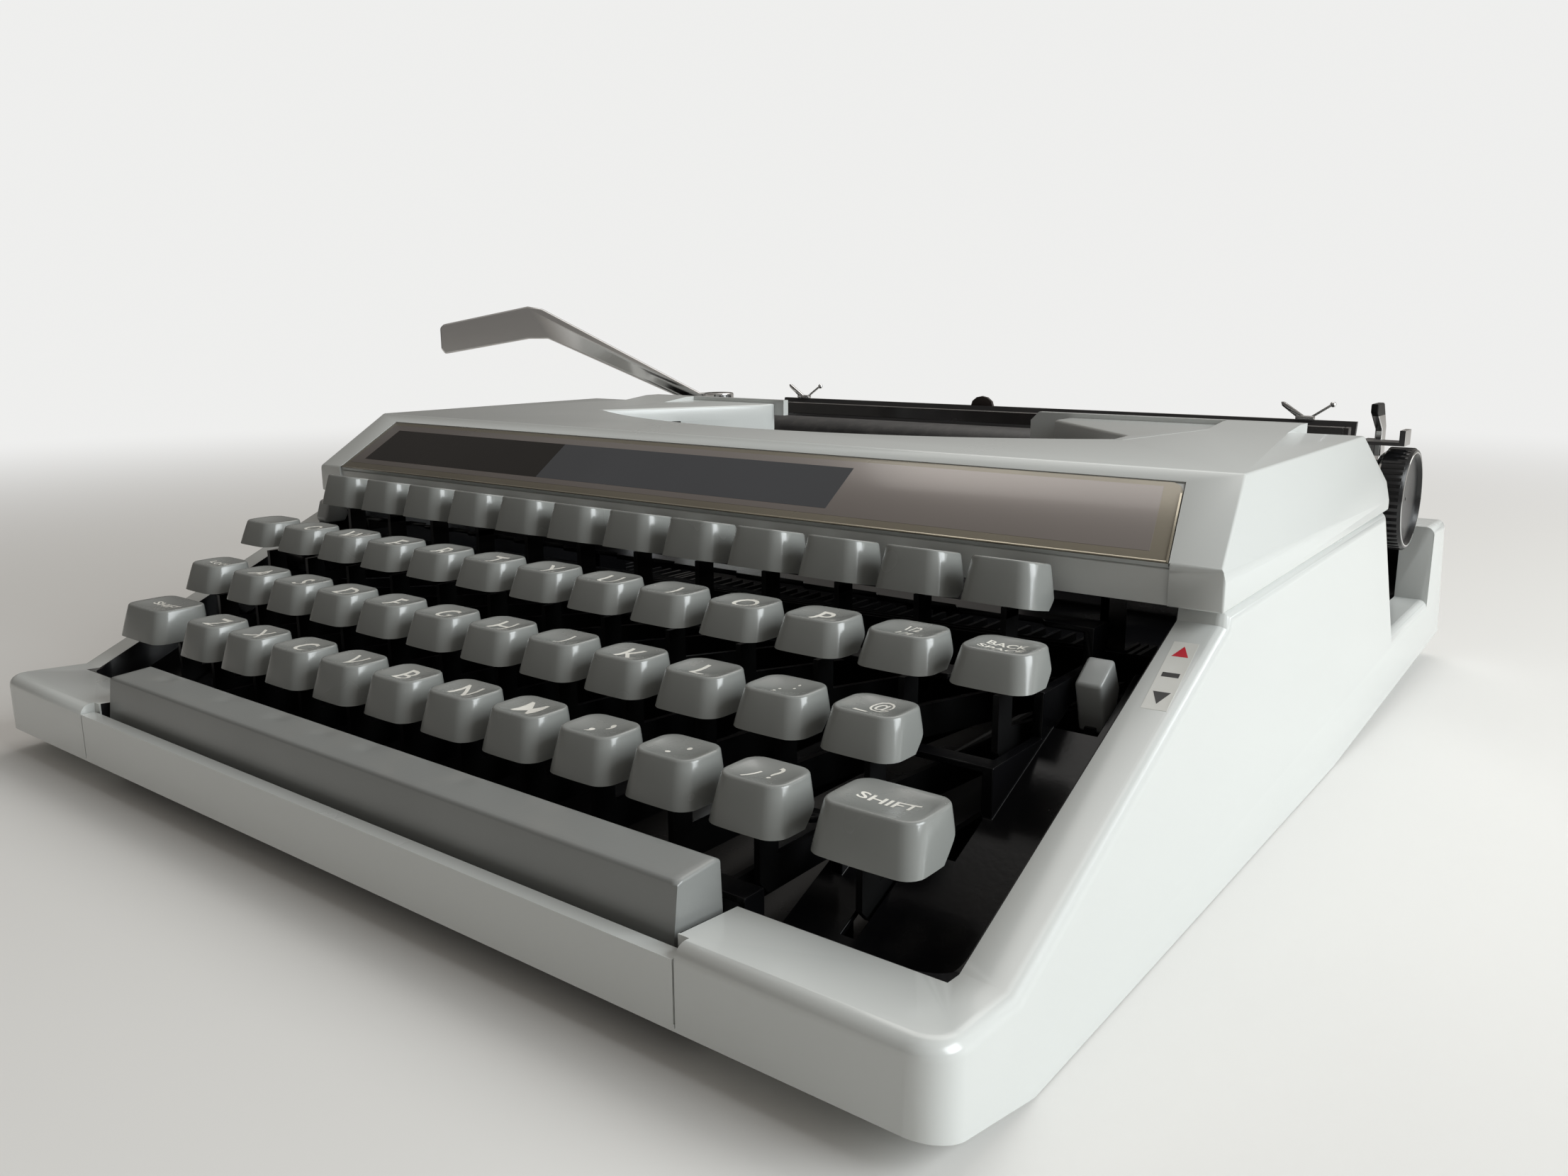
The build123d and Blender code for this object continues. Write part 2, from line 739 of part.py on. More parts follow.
def make_chassis_frame():
    """Make the inner frame: fulcrum bars, plates of the well, posts and carriage rails."""
    tray_z = body_floor_z + body_wall
    bay_z = tail_z + body_wall
    half = fulcrum_side / 2
    edge_x = well_half_width - seat_gap
    with BuildPart() as chassis_frame:
        # Fulcrum bar of the key levers, on two blocks
        add(box_between((-edge_x, fulcrum_y - half, fulcrum_z - half), (edge_x, fulcrum_y + half, fulcrum_z + half)))
        for side in (-1, 1):
            with Locations((side * (edge_x - 2.0), fulcrum_y, (tray_z + fulcrum_z) / 2)):
                Box(4.0, 8.0, fulcrum_z - tray_z)
        # Short bars that carry the two side levers
        for side, inner_x in ((-1, 116.0), (1, 112.0)):
            with Locations((side * (inner_x + edge_x) / 2, selector_y, selector_pivot_z)):
                Box(edge_x - inner_x, fulcrum_side, fulcrum_side)
            with Locations((side * (edge_x - 1.0), selector_y, (tray_z + selector_pivot_z) / 2)):
                Box(2.0, 6.0, selector_pivot_z - tray_z)
        # Strips between the key rows, rising in steps
        strip_rear_y = seam_front_y + 5.0
        strips = [
            (lower_row_y + 5.6, home_row_y - 8.6, lower_row_top - 10.0, 0.0, short_strip_half_length),
            (home_row_y + 5.6, upper_row_y - 8.6, home_row_top - 10.0, -0.25, strip_half_length),
            (upper_row_y + 5.6, number_row_y - 8.6, upper_row_top - 10.4, 0.25, strip_half_length),
            (number_row_y + 5.6, strip_rear_y, number_row_top - 12.6, 0.25, strip_half_length),
        ]
        for strip in strips:
            add(strip_part(*strip))
        # Ends of the strips: blocks on the left and for the short strip, one rib on the right
        for front_y, rear_y, foot_z, column_offset, half_length in strips:
            head_z = foot_z + plate_thickness
            if half_length < strip_half_length:
                for side in (-1, 1):
                    with Locations((side * (half_length - 1.0), (front_y + rear_y) / 2, (tray_z + foot_z) / 2)):
                        Box(2.0, rear_y - front_y, foot_z - tray_z)
            else:
                add(box_between((-edge_x, front_y, foot_z - 3.0), (-half_length, rear_y, head_z)))
        add(rib_part(strips[1:]))
        # Sloping plates at both sides of the well, slotted for the shift levers
        front_y = well_front_y + 0.6
        step_y = home_row_y - stem_depth / 2 - 3 * gap
        selector_slot_y = selector_y - 10.0
        for side in (-1, 1):
            low_x, high_x = sorted((side * (pocket_half_length + 2.0), side * edge_x))
            add(side_plate_part(low_x, high_x, front_y, step_y))
            with Locations((side * shift_lever_x, (shift_cap_y - stem_depth + step_y) / 2, lower_row_top / 2)):
                slot_length = step_y - shift_cap_y + stem_depth + 2 * gap
                Box(lever_thickness + 2 * side_slot_gap, slot_length, lower_row_top, mode=Mode.SUBTRACT)
        add(side_plate_part(side_plate_inner_x, edge_x, step_y - 1.0, selector_slot_y))
        add(side_plate_part(selector_x + 4.2, edge_x, selector_slot_y, seam_front_y - 1.0))
        add(side_plate_part(-edge_x, -left_plate_inner_x, step_y - 1.0, selector_slot_y))
        # Plate between the space bar and the lower row, on two cheeks
        plate_z = bar_foot_z + lever_height + 0.8
        cheek_x = pocket_half_length + 1.0
        add(box_between((-cheek_x, front_y, plate_z), (cheek_x, lower_row_y - 8.4, plate_z + plate_thickness)))
        for side in (-1, 1):
            with Locations((side * (cheek_x - 0.6), (front_y + lower_row_y - 8.4) / 2, (tray_z + plate_z) / 2)):
                Box(1.2, lower_row_y - 8.4 - front_y, plate_z - tray_z)
        # Posts of the ribbon spools, between two levers each
        for side in (-1, 1):
            post_top_z = spool_top_z - spool_height - seat_gap
            with Locations((side * spool_post_x, spool_y, (tray_z + post_top_z) / 2)):
                Box(2.2, 12.0, post_top_z - tray_z)
        # Foot of the type basket
        tilt = math.radians(type_tilt)
        segment_depth = (type_radius + segment_rim) * math.cos(tilt) + segment_thickness / 2 * math.sin(tilt)
        foot_top_z = print_z - segment_depth - seat_gap
        foot_y = print_y - (type_radius + segment_rim) * math.sin(tilt)
        with Locations((0, foot_y, (bay_z + foot_top_z) / 2)):
            Box(24.0, 9.0, foot_top_z - bay_z)
        # Rails that carry the carriage
        rail_top_z = carriage_floor_z - seat_gap
        for rail_y in (bed_front_y + 4.0, bed_rear_y - 4.0):
            with Locations((0, rail_y, rail_top_z - 3.0)):
                Box(2 * shelf_half_width - 1.0, 4.0, 6.0)
        for rail_x in (-shelf_half_width + 6.0, shelf_half_width - 6.0):
            with Locations((rail_x, (bed_front_y + bed_rear_y) / 2, (bay_z + rail_top_z - 6.0) / 2)):
                Box(10.0, bed_rear_y - bed_front_y - 4.0, rail_top_z - 6.0 - bay_z)
        # Keep the plates clear of the rounded corners of the well
        with BuildSketch(Plane.XY) as outline:
            with Locations((0, (well_front_y + seat_gap + bed_rear_y) / 2)):
                Rectangle(2 * edge_x, bed_rear_y - well_front_y - seat_gap)
            chamfer(outline.vertices(), well_plate_chamfer)
        extrude(amount=cover_top_z, mode=Mode.INTERSECT)
    save(chassis_frame, "chassis_frame")


def basket_plane(angle, radius):
    """Plane of one type bar: x along the resting bar, y inwards to the printing point."""
    turn = math.radians(angle)
    tilt = math.radians(type_tilt)
    outward = (math.cos(turn), -math.sin(turn) * math.sin(tilt), -math.sin(turn) * math.cos(tilt))
    origin = (
        radius * outward[0],
        print_y + radius * outward[1],
        print_z + radius * outward[2],
    )
    along = Vector(0, -math.cos(tilt), math.sin(tilt))
    inward = Vector(*outward) * -1
    return Plane(origin=origin, x_dir=along, z_dir=along.cross(inward))


def type_bar_part(angle):
    """Return one resting type bar with its type head."""
    start = segment_thickness / 2 + seat_gap
    half = type_bar_height / 2
    with BuildPart() as bar:
        with BuildSketch(basket_plane(angle, type_radius)):
            with BuildLine():
                Polyline(
                    (start, -half),
                    (type_radius, -half * 0.6),
                    (type_radius, half + type_head_height),
                    (type_radius - type_head_width, half + type_head_height),
                    (type_radius - type_head_width, half * 0.6),
                    (start, half),
                    close=True,
                )
            make_face()
        extrude(amount=type_bar_thickness / 2, both=True)
    return bar.part


def spool_part(side):
    """Return one ribbon spool with its two flanges."""
    with BuildPart() as spool:
        flange = 1.2
        with Locations((side * spool_x, spool_y, spool_top_z - spool_height / 2)):
            Cylinder(spool_radius - 3.0, spool_height)
        for flange_z in (spool_top_z - flange / 2, spool_top_z - spool_height + flange / 2):
            with Locations((side * spool_x, spool_y, flange_z)):
                Cylinder(spool_radius, flange)
    return spool.part


def make_type_basket():
    """Make the slotted segment, its type bars at rest and the two ribbon spools."""
    tilt = math.radians(type_tilt)
    along = Vector(0, -math.cos(tilt), math.sin(tilt))
    face = Plane(origin=(0, print_y, print_z), x_dir=(1, 0, 0), z_dir=along)
    span = 180.0 - 2 * type_end_angle + 8.0
    first = -90.0 - span / 2
    with BuildPart() as type_basket:
        with BuildSketch(face):
            outer = type_radius + segment_rim
            inner = type_radius - segment_lip
            with BuildLine():
                CenterArc((0, 0), outer, first, span)
                CenterArc((0, 0), inner, first, span)
                for angle in (first, first + span):
                    turn = math.radians(angle)
                    Line(
                        (inner * math.cos(turn), inner * math.sin(turn)),
                        (outer * math.cos(turn), outer * math.sin(turn)),
                    )
            make_face()
        extrude(amount=segment_thickness / 2, both=True)
        step = (180.0 - 2 * type_end_angle) / (type_count - 1)
        add([type_bar_part(type_end_angle + index * step) for index in range(type_count)])
        add([spool_part(-1), spool_part(1)])
    save(type_basket, "type_basket")


def end_plate_part(side):
    """Return one end plate of the carriage with its bearing holes."""
    with BuildPart() as plate:
        with BuildSketch(Plane.YZ.offset(side * end_plate_inner_x)):
            with BuildLine():
                Polyline(
                    (end_plate_front_y, carriage_floor_z),
                    (end_plate_rear_y, carriage_floor_z),
                    (end_plate_rear_y, platen_z + 4.0),
                    (platen_y + 10.0, end_plate_top_z),
                    (platen_y - 10.0, end_plate_top_z),
                    (end_plate_front_y, bail_pivot_z + 8.0),
                    close=True,
                )
            make_face()
            with Locations((platen_y, platen_z)):
                Circle(shaft_radius + shaft_clearance, mode=Mode.SUBTRACT)
            with Locations((bail_pivot_y, bail_pivot_z)):
                Circle(bail_pin_radius + shaft_clearance, mode=Mode.SUBTRACT)
            if side > 0:
                with Locations((release_pivot_y, release_pivot_z)):
                    Circle(release_pin_radius + shaft_clearance, mode=Mode.SUBTRACT)
        extrude(amount=side * (end_plate_outer_x - end_plate_inner_x))
    return plate.part


def make_carriage():
    """Make the carriage: bed, end plates, paper table, stops and end brackets."""
    with BuildPart() as carriage:
        with Locations((0, (bed_front_y + bed_rear_y) / 2, (carriage_floor_z + carriage_bed_top_z) / 2)):
            Box(2 * end_plate_inner_x, bed_rear_y - bed_front_y, carriage_bed_top_z - carriage_floor_z)
        add([end_plate_part(-1), end_plate_part(1)])
        # Paper table behind the platen
        with BuildSketch(Plane.YZ):
            with BuildLine():
                Polyline(
                    (bed_rear_y - table_thickness, carriage_bed_top_z - 0.5),
                    (bed_rear_y, carriage_bed_top_z - 0.5),
                    (table_foot_y + table_thickness, table_foot_z),
                    (table_head_y + table_thickness, table_head_z),
                    (table_head_y, table_head_z),
                    (table_foot_y, table_foot_z),
                    close=True,
                )
            make_face()
        extrude(amount=table_half_length, both=True)
        # Margin rack behind the paper table
        rack_y = (table_foot_y + table_head_y) / 2 + table_thickness + 0.8
        with Locations((0, rack_y, (table_foot_z + table_head_z) / 2)):
            Box(2 * table_half_length, 3.0, 4.0)
        # Two forked chrome stops on the paper table and one small lug between them
        for stop in (-stop_x, stop_x):
            with BuildSketch(Plane.XZ.offset(-table_head_y - table_thickness / 2)):
                with BuildLine():
                    Polyline(
                        (stop - 1.6, table_head_z - 1.0),
                        (stop + 1.6, table_head_z - 1.0),
                        (stop + stop_reach, stop_top_z),
                        (stop + stop_reach - 2.6, stop_top_z),
                        (stop, table_head_z + 1.4),
                        (stop - stop_reach + 2.6, stop_top_z),
                        (stop - stop_reach, stop_top_z),
                        close=True,
                    )
                make_face()
            extrude(amount=0.6, both=True)
        with Locations((lug_x, table_head_y + table_thickness / 2, table_head_z)):
            Box(6.0, 1.2, 5.0)
        # Brackets beyond the end plates
        bracket_low_z = end_plate_top_z - 0.4
        bracket_top_z = return_hub_z - gap
        add(box_between(
            (-knob_outer_x, return_hub_y - 6.0, bracket_low_z),
            (-end_plate_inner_x, return_hub_y + 6.0, bracket_top_z),
        ))
        with Locations((return_hub_x, return_hub_y, bracket_top_z + (return_hub_height + gap) / 2)):
            Cylinder(return_post_radius, return_hub_height + gap)
        add(box_between(
            (end_plate_inner_x, release_tab_front_y, bracket_low_z),
            (knob_outer_x - 2.5, release_tab_rear_y, bracket_top_z),
        ))
        add(box_between(
            (knob_outer_x - 4.0, release_tab_front_y, bracket_low_z),
            (knob_outer_x - 2.5, release_tab_rear_y, release_tab_z),
        ))
    save(carriage, "carriage")


def make_paper_bail():
    """Make the paper bail: a bar over the platen between two arms with pivot pins."""
    half = bail_arm_width / 2
    outer_x = bail_arm_inner_x + bail_arm_thickness
    with BuildPart() as paper_bail:
        with Locations((0, bail_bar_y, bail_bar_top_z - bail_bar_height / 2)):
            Box(2 * (bail_arm_inner_x - seat_gap), bail_bar_depth, bail_bar_height)
        for side in (-1, 1):
            with BuildSketch(Plane.YZ.offset(side * bail_arm_inner_x)):
                with BuildLine():
                    Polyline(
                        (bail_pivot_y - half, bail_pivot_z),
                        (bail_pivot_y + half, bail_pivot_z),
                        (bail_bar_y + bail_bar_depth / 2, bail_bar_top_z),
                        (bail_bar_y - bail_bar_depth / 2, bail_bar_top_z),
                        close=True,
                    )
                make_face()
                with Locations((bail_pivot_y, bail_pivot_z)):
                    Circle(half)
            extrude(amount=side * bail_arm_thickness)
            with BuildSketch(Plane.YZ.offset(side * outer_x)):
                with Locations((bail_pivot_y, bail_pivot_z)):
                    Circle(bail_pin_radius)
            extrude(amount=side * (end_plate_outer_x - outer_x))
    save(paper_bail, "paper_bail")


def make_return_lever():
    """Make the carriage return lever, a raised blade on a hub."""
    turn = math.radians(return_angle)
    blade_plane = Plane(
        origin=(return_hub_x, return_hub_y, 0),
        x_dir=(math.cos(turn), math.sin(turn), 0),
        z_dir=(math.sin(turn), -math.cos(turn), 0),
    )
    hub_low_z = return_hub_z + 0.2
    hub_top_z = return_hub_z + return_hub_height
    with BuildPart() as return_lever:
        with Locations((return_hub_x, return_hub_y, (hub_low_z + hub_top_z) / 2)):
            Cylinder(return_hub_radius, hub_top_z - hub_low_z)
        with BuildSketch(blade_plane):
            with BuildLine():
                Polyline(
                    (return_post_radius, hub_low_z),
                    (return_hub_radius + 4.0, hub_low_z),
                    (return_bend_reach - 6.0, return_bend_top_z - return_blade_height),
                    (return_bend_reach + 2.0, return_bend_top_z - return_blade_height),
                    (return_tip_reach - 1.5, return_tip_top_z - return_blade_height + 1.0),
                    (return_tip_reach, return_tip_top_z - return_blade_height + 3.0),
                    (return_tip_reach, return_tip_top_z - 1.5),
                    (return_tip_reach - 1.5, return_tip_top_z),
                    (return_bend_reach + 2.0, return_bend_top_z),
                    (return_bend_reach - 4.0, return_bend_top_z - 1.0),
                    (return_hub_radius + 2.0, hub_top_z),
                    (return_post_radius, hub_top_z),
                    close=True,
                )
            make_face()
        extrude(amount=return_blade_thickness / 2, both=True)
        with Locations((return_hub_x, return_hub_y, (hub_low_z + hub_top_z) / 2)):
            Cylinder(return_post_radius + shaft_clearance, 2 * return_hub_height, mode=Mode.SUBTRACT)
    save(return_lever, "return_lever")


def make_paper_release_lever():
    """Make the paper release lever on its pin."""
    with BuildPart() as release_lever:
        with BuildSketch(Plane.YZ.offset(release_x)):
            with BuildLine():
                Polyline(
                    (release_pivot_y - 2.4, release_pivot_z),
                    (release_pivot_y - 2.4, release_pivot_z + 11.0),
                    (release_tip_y, release_tip_z - 2.6),
                    (release_tip_y, release_tip_z),
                    (release_tip_y + 8.0, release_tip_z),
                    (release_pivot_y + 2.6, release_pivot_z + 12.0),
                    (release_pivot_y + 3.4, release_pivot_z),
                    close=True,
                )
            make_face()
            with Locations((release_pivot_y, release_pivot_z)):
                Circle(4.2)
        extrude(amount=release_thickness)
        with BuildSketch(Plane.YZ.offset(end_plate_inner_x)):
            with Locations((release_pivot_y, release_pivot_z)):
                Circle(release_pin_radius)
        extrude(amount=release_x - end_plate_inner_x)
    save(release_lever, "paper_release_lever")


def side_lever_part(lever_x, lever_y, top_z, cap_height_z, cap_width):
    """Return a small upright lever hooked on its bar, with a tapered cap."""
    half = half_slot()
    with BuildPart() as side_lever:
        with BuildSketch(Plane.YZ.offset(lever_x)):
            with Locations((lever_y, (selector_pivot_z - 4.0 + top_z - 2.0) / 2)):
                Rectangle(side_arm_width, top_z - 2.0 - selector_pivot_z + 4.0)
            with Locations((selector_y, selector_pivot_z)):
                Rectangle(side_arm_width + 1.2, 8.0)
                Rectangle(2 * half, 2 * half, mode=Mode.SUBTRACT)
        extrude(amount=side_arm_thickness / 2, both=True)
        with BuildSketch(Plane.XY.offset(top_z - cap_height_z)):
            with Locations((lever_x, lever_y)):
                Rectangle(cap_width + 1.0, 8.8)
        with BuildSketch(Plane.XY.offset(top_z)):
            with Locations((lever_x, lever_y)):
                Rectangle(cap_width - 1.0, 6.6)
        loft()
    return side_lever.part


def make_side_levers():
    """Make the ribbon colour selector and the small lever on the left."""
    with BuildPart() as colour_selector:
        add(side_lever_part(selector_x, selector_y, selector_top_z, 8.0, 6.0))
    save(colour_selector, "colour_selector")
    with BuildPart() as left_lever:
        add(side_lever_part(left_lever_x, left_lever_y, left_lever_top_z, 7.0, 5.0))
    save(left_lever, "left_lever")


make_row(["key_num_%02d" % n for n in range(1, 13)], number_row_start, number_row_y, number_row_top)
upper_names = ["key_" + letter for letter in "qwertyuiop"] + ["key_fraction"]
make_row(upper_names, upper_row_start, upper_row_y, upper_row_top)
home_names = ["key_" + letter for letter in "asdfghjkl"] + ["key_semicolon", "key_at"]
make_row(home_names, home_row_start, home_row_y, home_row_top)
lower_names = ["key_" + letter for letter in "zxcvbnm"] + ["key_comma", "key_period", "key_slash"]
make_row(lower_names, lower_row_start, lower_row_y, lower_row_top)
make_key("key_margin_release", (upper_row_start - 1) * key_pitch, upper_row_y, upper_row_top)
make_key("key_backspace", (upper_row_start + 11) * key_pitch, upper_row_y, upper_row_top)
make_key("key_shift_lock", (home_row_start - 1) * key_pitch, home_row_y, home_row_top)
make_shift_keys()
make_space_bar()
make_base_shell()
make_ribbon_cover()
make_platen()
make_chassis_frame()
make_type_basket()
make_carriage()
make_paper_bail()
make_return_lever()
make_paper_release_lever()
make_side_levers()
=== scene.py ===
"""Portable manual typewriter: the visible pieces, materials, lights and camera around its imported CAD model.

Shapes made here are in millimetres until they become pieces. Shapes taken from the CAD model stay in metres.
"""

import math

import bmesh
import bpy
from bpy.props import FloatProperty, FloatVectorProperty, PointerProperty
from mathutils import Euler, Matrix, Vector


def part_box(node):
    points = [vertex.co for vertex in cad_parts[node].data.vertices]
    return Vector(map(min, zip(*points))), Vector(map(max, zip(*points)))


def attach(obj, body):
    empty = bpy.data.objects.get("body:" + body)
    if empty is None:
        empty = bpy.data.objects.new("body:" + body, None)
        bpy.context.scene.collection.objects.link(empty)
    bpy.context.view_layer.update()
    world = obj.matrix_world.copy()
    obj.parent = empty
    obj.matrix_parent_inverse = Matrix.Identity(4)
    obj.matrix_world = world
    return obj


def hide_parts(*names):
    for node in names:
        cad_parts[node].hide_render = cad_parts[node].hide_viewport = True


bl_info = {
    "name": "Portable Typewriter",
    "version": (1, 0, 0),
    "blender": (4, 5, 0),
    "location": "View3D > Sidebar > Typewriter",
    "description": "Builds the pieces and finishes of a portable manual typewriter around its CAD model",
    "category": "Object",
}

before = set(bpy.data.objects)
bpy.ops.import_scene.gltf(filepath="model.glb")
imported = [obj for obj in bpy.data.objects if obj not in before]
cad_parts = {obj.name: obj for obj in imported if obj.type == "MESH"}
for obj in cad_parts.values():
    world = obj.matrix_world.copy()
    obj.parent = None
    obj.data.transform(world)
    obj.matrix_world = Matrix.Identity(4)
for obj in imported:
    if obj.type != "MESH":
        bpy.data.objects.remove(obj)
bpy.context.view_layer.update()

MM = 0.001


# Shader helpers


def join_socket(links, value, socket):
    """Link a socket to another one, or set its value."""
    if isinstance(value, bpy.types.NodeSocket):
        links.new(value, socket)
    else:
        socket.default_value = value


def math_node(tree, operation, first, second=0.0, clamp=False):
    """Add a Math node and return its output."""
    node = tree.nodes.new("ShaderNodeMath")
    node.operation = operation
    node.use_clamp = clamp
    join_socket(tree.links, first, node.inputs[0])
    join_socket(tree.links, second, node.inputs[1])
    return node.outputs[0]


def range_node(tree, value, low, high, out_low=0.0, out_high=1.0):
    """Add a smooth Map Range node and return its output."""
    node = tree.nodes.new("ShaderNodeMapRange")
    node.interpolation_type = "SMOOTHSTEP"
    for socket, setting in zip(node.inputs[:5], (value, low, high, out_low, out_high)):
        join_socket(tree.links, setting, socket)
    return node.outputs[0]


def mix_colour(tree, mask, first, second):
    """Add a colour Mix node and return its output."""
    node = tree.nodes.new("ShaderNodeMix")
    node.data_type = "RGBA"
    join_socket(tree.links, mask, node.inputs[0])
    join_socket(tree.links, first, node.inputs[6])
    join_socket(tree.links, second, node.inputs[7])
    return node.outputs[2]


def noise_node(tree, scale, detail):
    """Add a noise texture on Object coordinates and return its value."""
    coordinates = tree.nodes.new("ShaderNodeTexCoord")
    noise = tree.nodes.new("ShaderNodeTexNoise")
    noise.inputs["Detail"].default_value = detail
    tree.links.new(coordinates.outputs["Object"], noise.inputs["Vector"])
    join_socket(tree.links, scale, noise.inputs["Scale"])
    return noise.outputs["Fac"]


def new_group(name, inputs, outputs):
    """Make a shader node group with named inputs and outputs."""
    group = bpy.data.node_groups.new(name, "ShaderNodeTree")
    for label, kind, default in inputs:
        socket = group.interface.new_socket(label, in_out="INPUT", socket_type=kind)
        socket.default_value = default
    for label, kind in outputs:
        group.interface.new_socket(label, in_out="OUTPUT", socket_type=kind)
    return group, group.nodes.new("NodeGroupInput").outputs, group.nodes.new("NodeGroupOutput").inputs


def made_once(build):
    """Let a function that builds a node group of its own name build it only the first time."""
    def get():
        return bpy.data.node_groups.get(build.__name__) or build()
    return get


@made_once
def moulded_tone():
    """Node group: a colour that drifts softly over a moulded or painted surface."""
    group, given, made = new_group(
        "moulded_tone",
        [("Colour", "NodeSocketColor", (0.8, 0.8, 0.8, 1)),
         ("Second Colour", "NodeSocketColor", (0.7, 0.7, 0.7, 1)), ("Scale", "NodeSocketFloat", 20.0),
         ("Grain Scale", "NodeSocketFloat", 900.0)],
        [("Colour", "NodeSocketColor"), ("Drift", "NodeSocketFloat"), ("Grain", "NodeSocketFloat")],
    )
    drift = range_node(group, noise_node(group, given["Scale"], 2.0), 0.15, 0.85)
    group.links.new(mix_colour(group, drift, given["Colour"], given["Second Colour"]), made["Colour"])
    group.links.new(drift, made["Drift"])
    group.links.new(noise_node(group, given["Grain Scale"], 2.0), made["Grain"])
    return group


@made_once
def settled_dust():
    """Node group: a mask of dust that settles on faces that look up."""
    group, given, made = new_group(
        "settled_dust",
        [("Scale", "NodeSocketFloat", 60.0), ("Cover", "NodeSocketFloat", 0.5)],
        [("Mask", "NodeSocketFloat")],
    )
    geometry = group.nodes.new("ShaderNodeNewGeometry")
    split = group.nodes.new("ShaderNodeSeparateXYZ")
    group.links.new(geometry.outputs["Normal"], split.inputs[0])
    upward = range_node(group, split.outputs["Z"], 0.3, 0.95)
    patches = range_node(group, noise_node(group, given["Scale"], 8.0), 0.45, 0.75)
    covered = math_node(group, "MULTIPLY", math_node(group, "MULTIPLY", upward, patches), given["Cover"])
    group.links.new(covered, made["Mask"])
    return group


@made_once
def worn_specks():
    """Node group: a mask of small nicks and specks."""
    group, given, made = new_group(
        "worn_specks",
        [("Scale", "NodeSocketFloat", 300.0), ("Threshold", "NodeSocketFloat", 0.72)],
        [("Mask", "NodeSocketFloat")],
    )
    upper = math_node(group, "ADD", given["Threshold"], 0.03)
    specks = range_node(group, noise_node(group, given["Scale"], 3.0), given["Threshold"], upper)
    group.links.new(specks, made["Mask"])
    return group


@made_once
def inside_box():
    """Node group: a mask of the surface inside a box given by two corners in metres."""
    group, given, made = new_group(
        "inside_box",
        [("Low", "NodeSocketVector", (0, 0, 0)), ("High", "NodeSocketVector", (0, 0, 0))],
        [("Mask", "NodeSocketFloat")],
    )
    coordinates = group.nodes.new("ShaderNodeTexCoord")
    place = group.nodes.new("ShaderNodeSeparateXYZ")
    group.links.new(coordinates.outputs["Object"], place.inputs[0])
    corners = []
    for label in ("Low", "High"):
        split = group.nodes.new("ShaderNodeSeparateXYZ")
        group.links.new(given[label], split.inputs[0])
        corners.append(split.outputs)
    mask = 1.0
    for axis in range(3):
        above = math_node(group, "GREATER_THAN", place.outputs[axis], corners[0][axis])
        below = math_node(group, "LESS_THAN", place.outputs[axis], corners[1][axis])
        mask = math_node(group, "MULTIPLY", mask, math_node(group, "MULTIPLY", above, below))
    group.links.new(mask, made["Mask"])
    return group


def place_group(tree, group, **values):
    """Place a node group in a material with its own values and return its outputs."""
    node = tree.nodes.new("ShaderNodeGroup")
    node.node_tree = group
    for label, value in values.items():
        join_socket(tree.links, value, node.inputs[label.replace("_", " ")])
    return node.outputs


def rgba(colour):
    """Return a colour with full alpha."""
    return (*colour, 1.0)


# Finishes

# Boxes inside which the plastic is painted black as painted shade, in metres: the well and the space bar's
# room, and the cover's underside
SHELL_SHADE_BOXES = [((-0.1282, -0.1432, 0.0026), (0.1282, 0.1482, 0.2)),
                ((-0.0912, -0.1562, 0.0026), (0.0912, -0.143, 0.2))]
COVER_SHADE_BOXES = [((-0.129, -0.0632, 0.0), (0.129, -0.040, 0.0625)),
                ((-0.129, -0.040, 0.0), (0.129, 0.0603, 0.0764))]
# Other settings of the off-white plastic, which has a few nicks
SHELL = dict(bump=0.01, dust=0.08, specks=0.80, speck_colour=(0.22, 0.22, 0.21), coat=0.3, rough_drift=0.008)
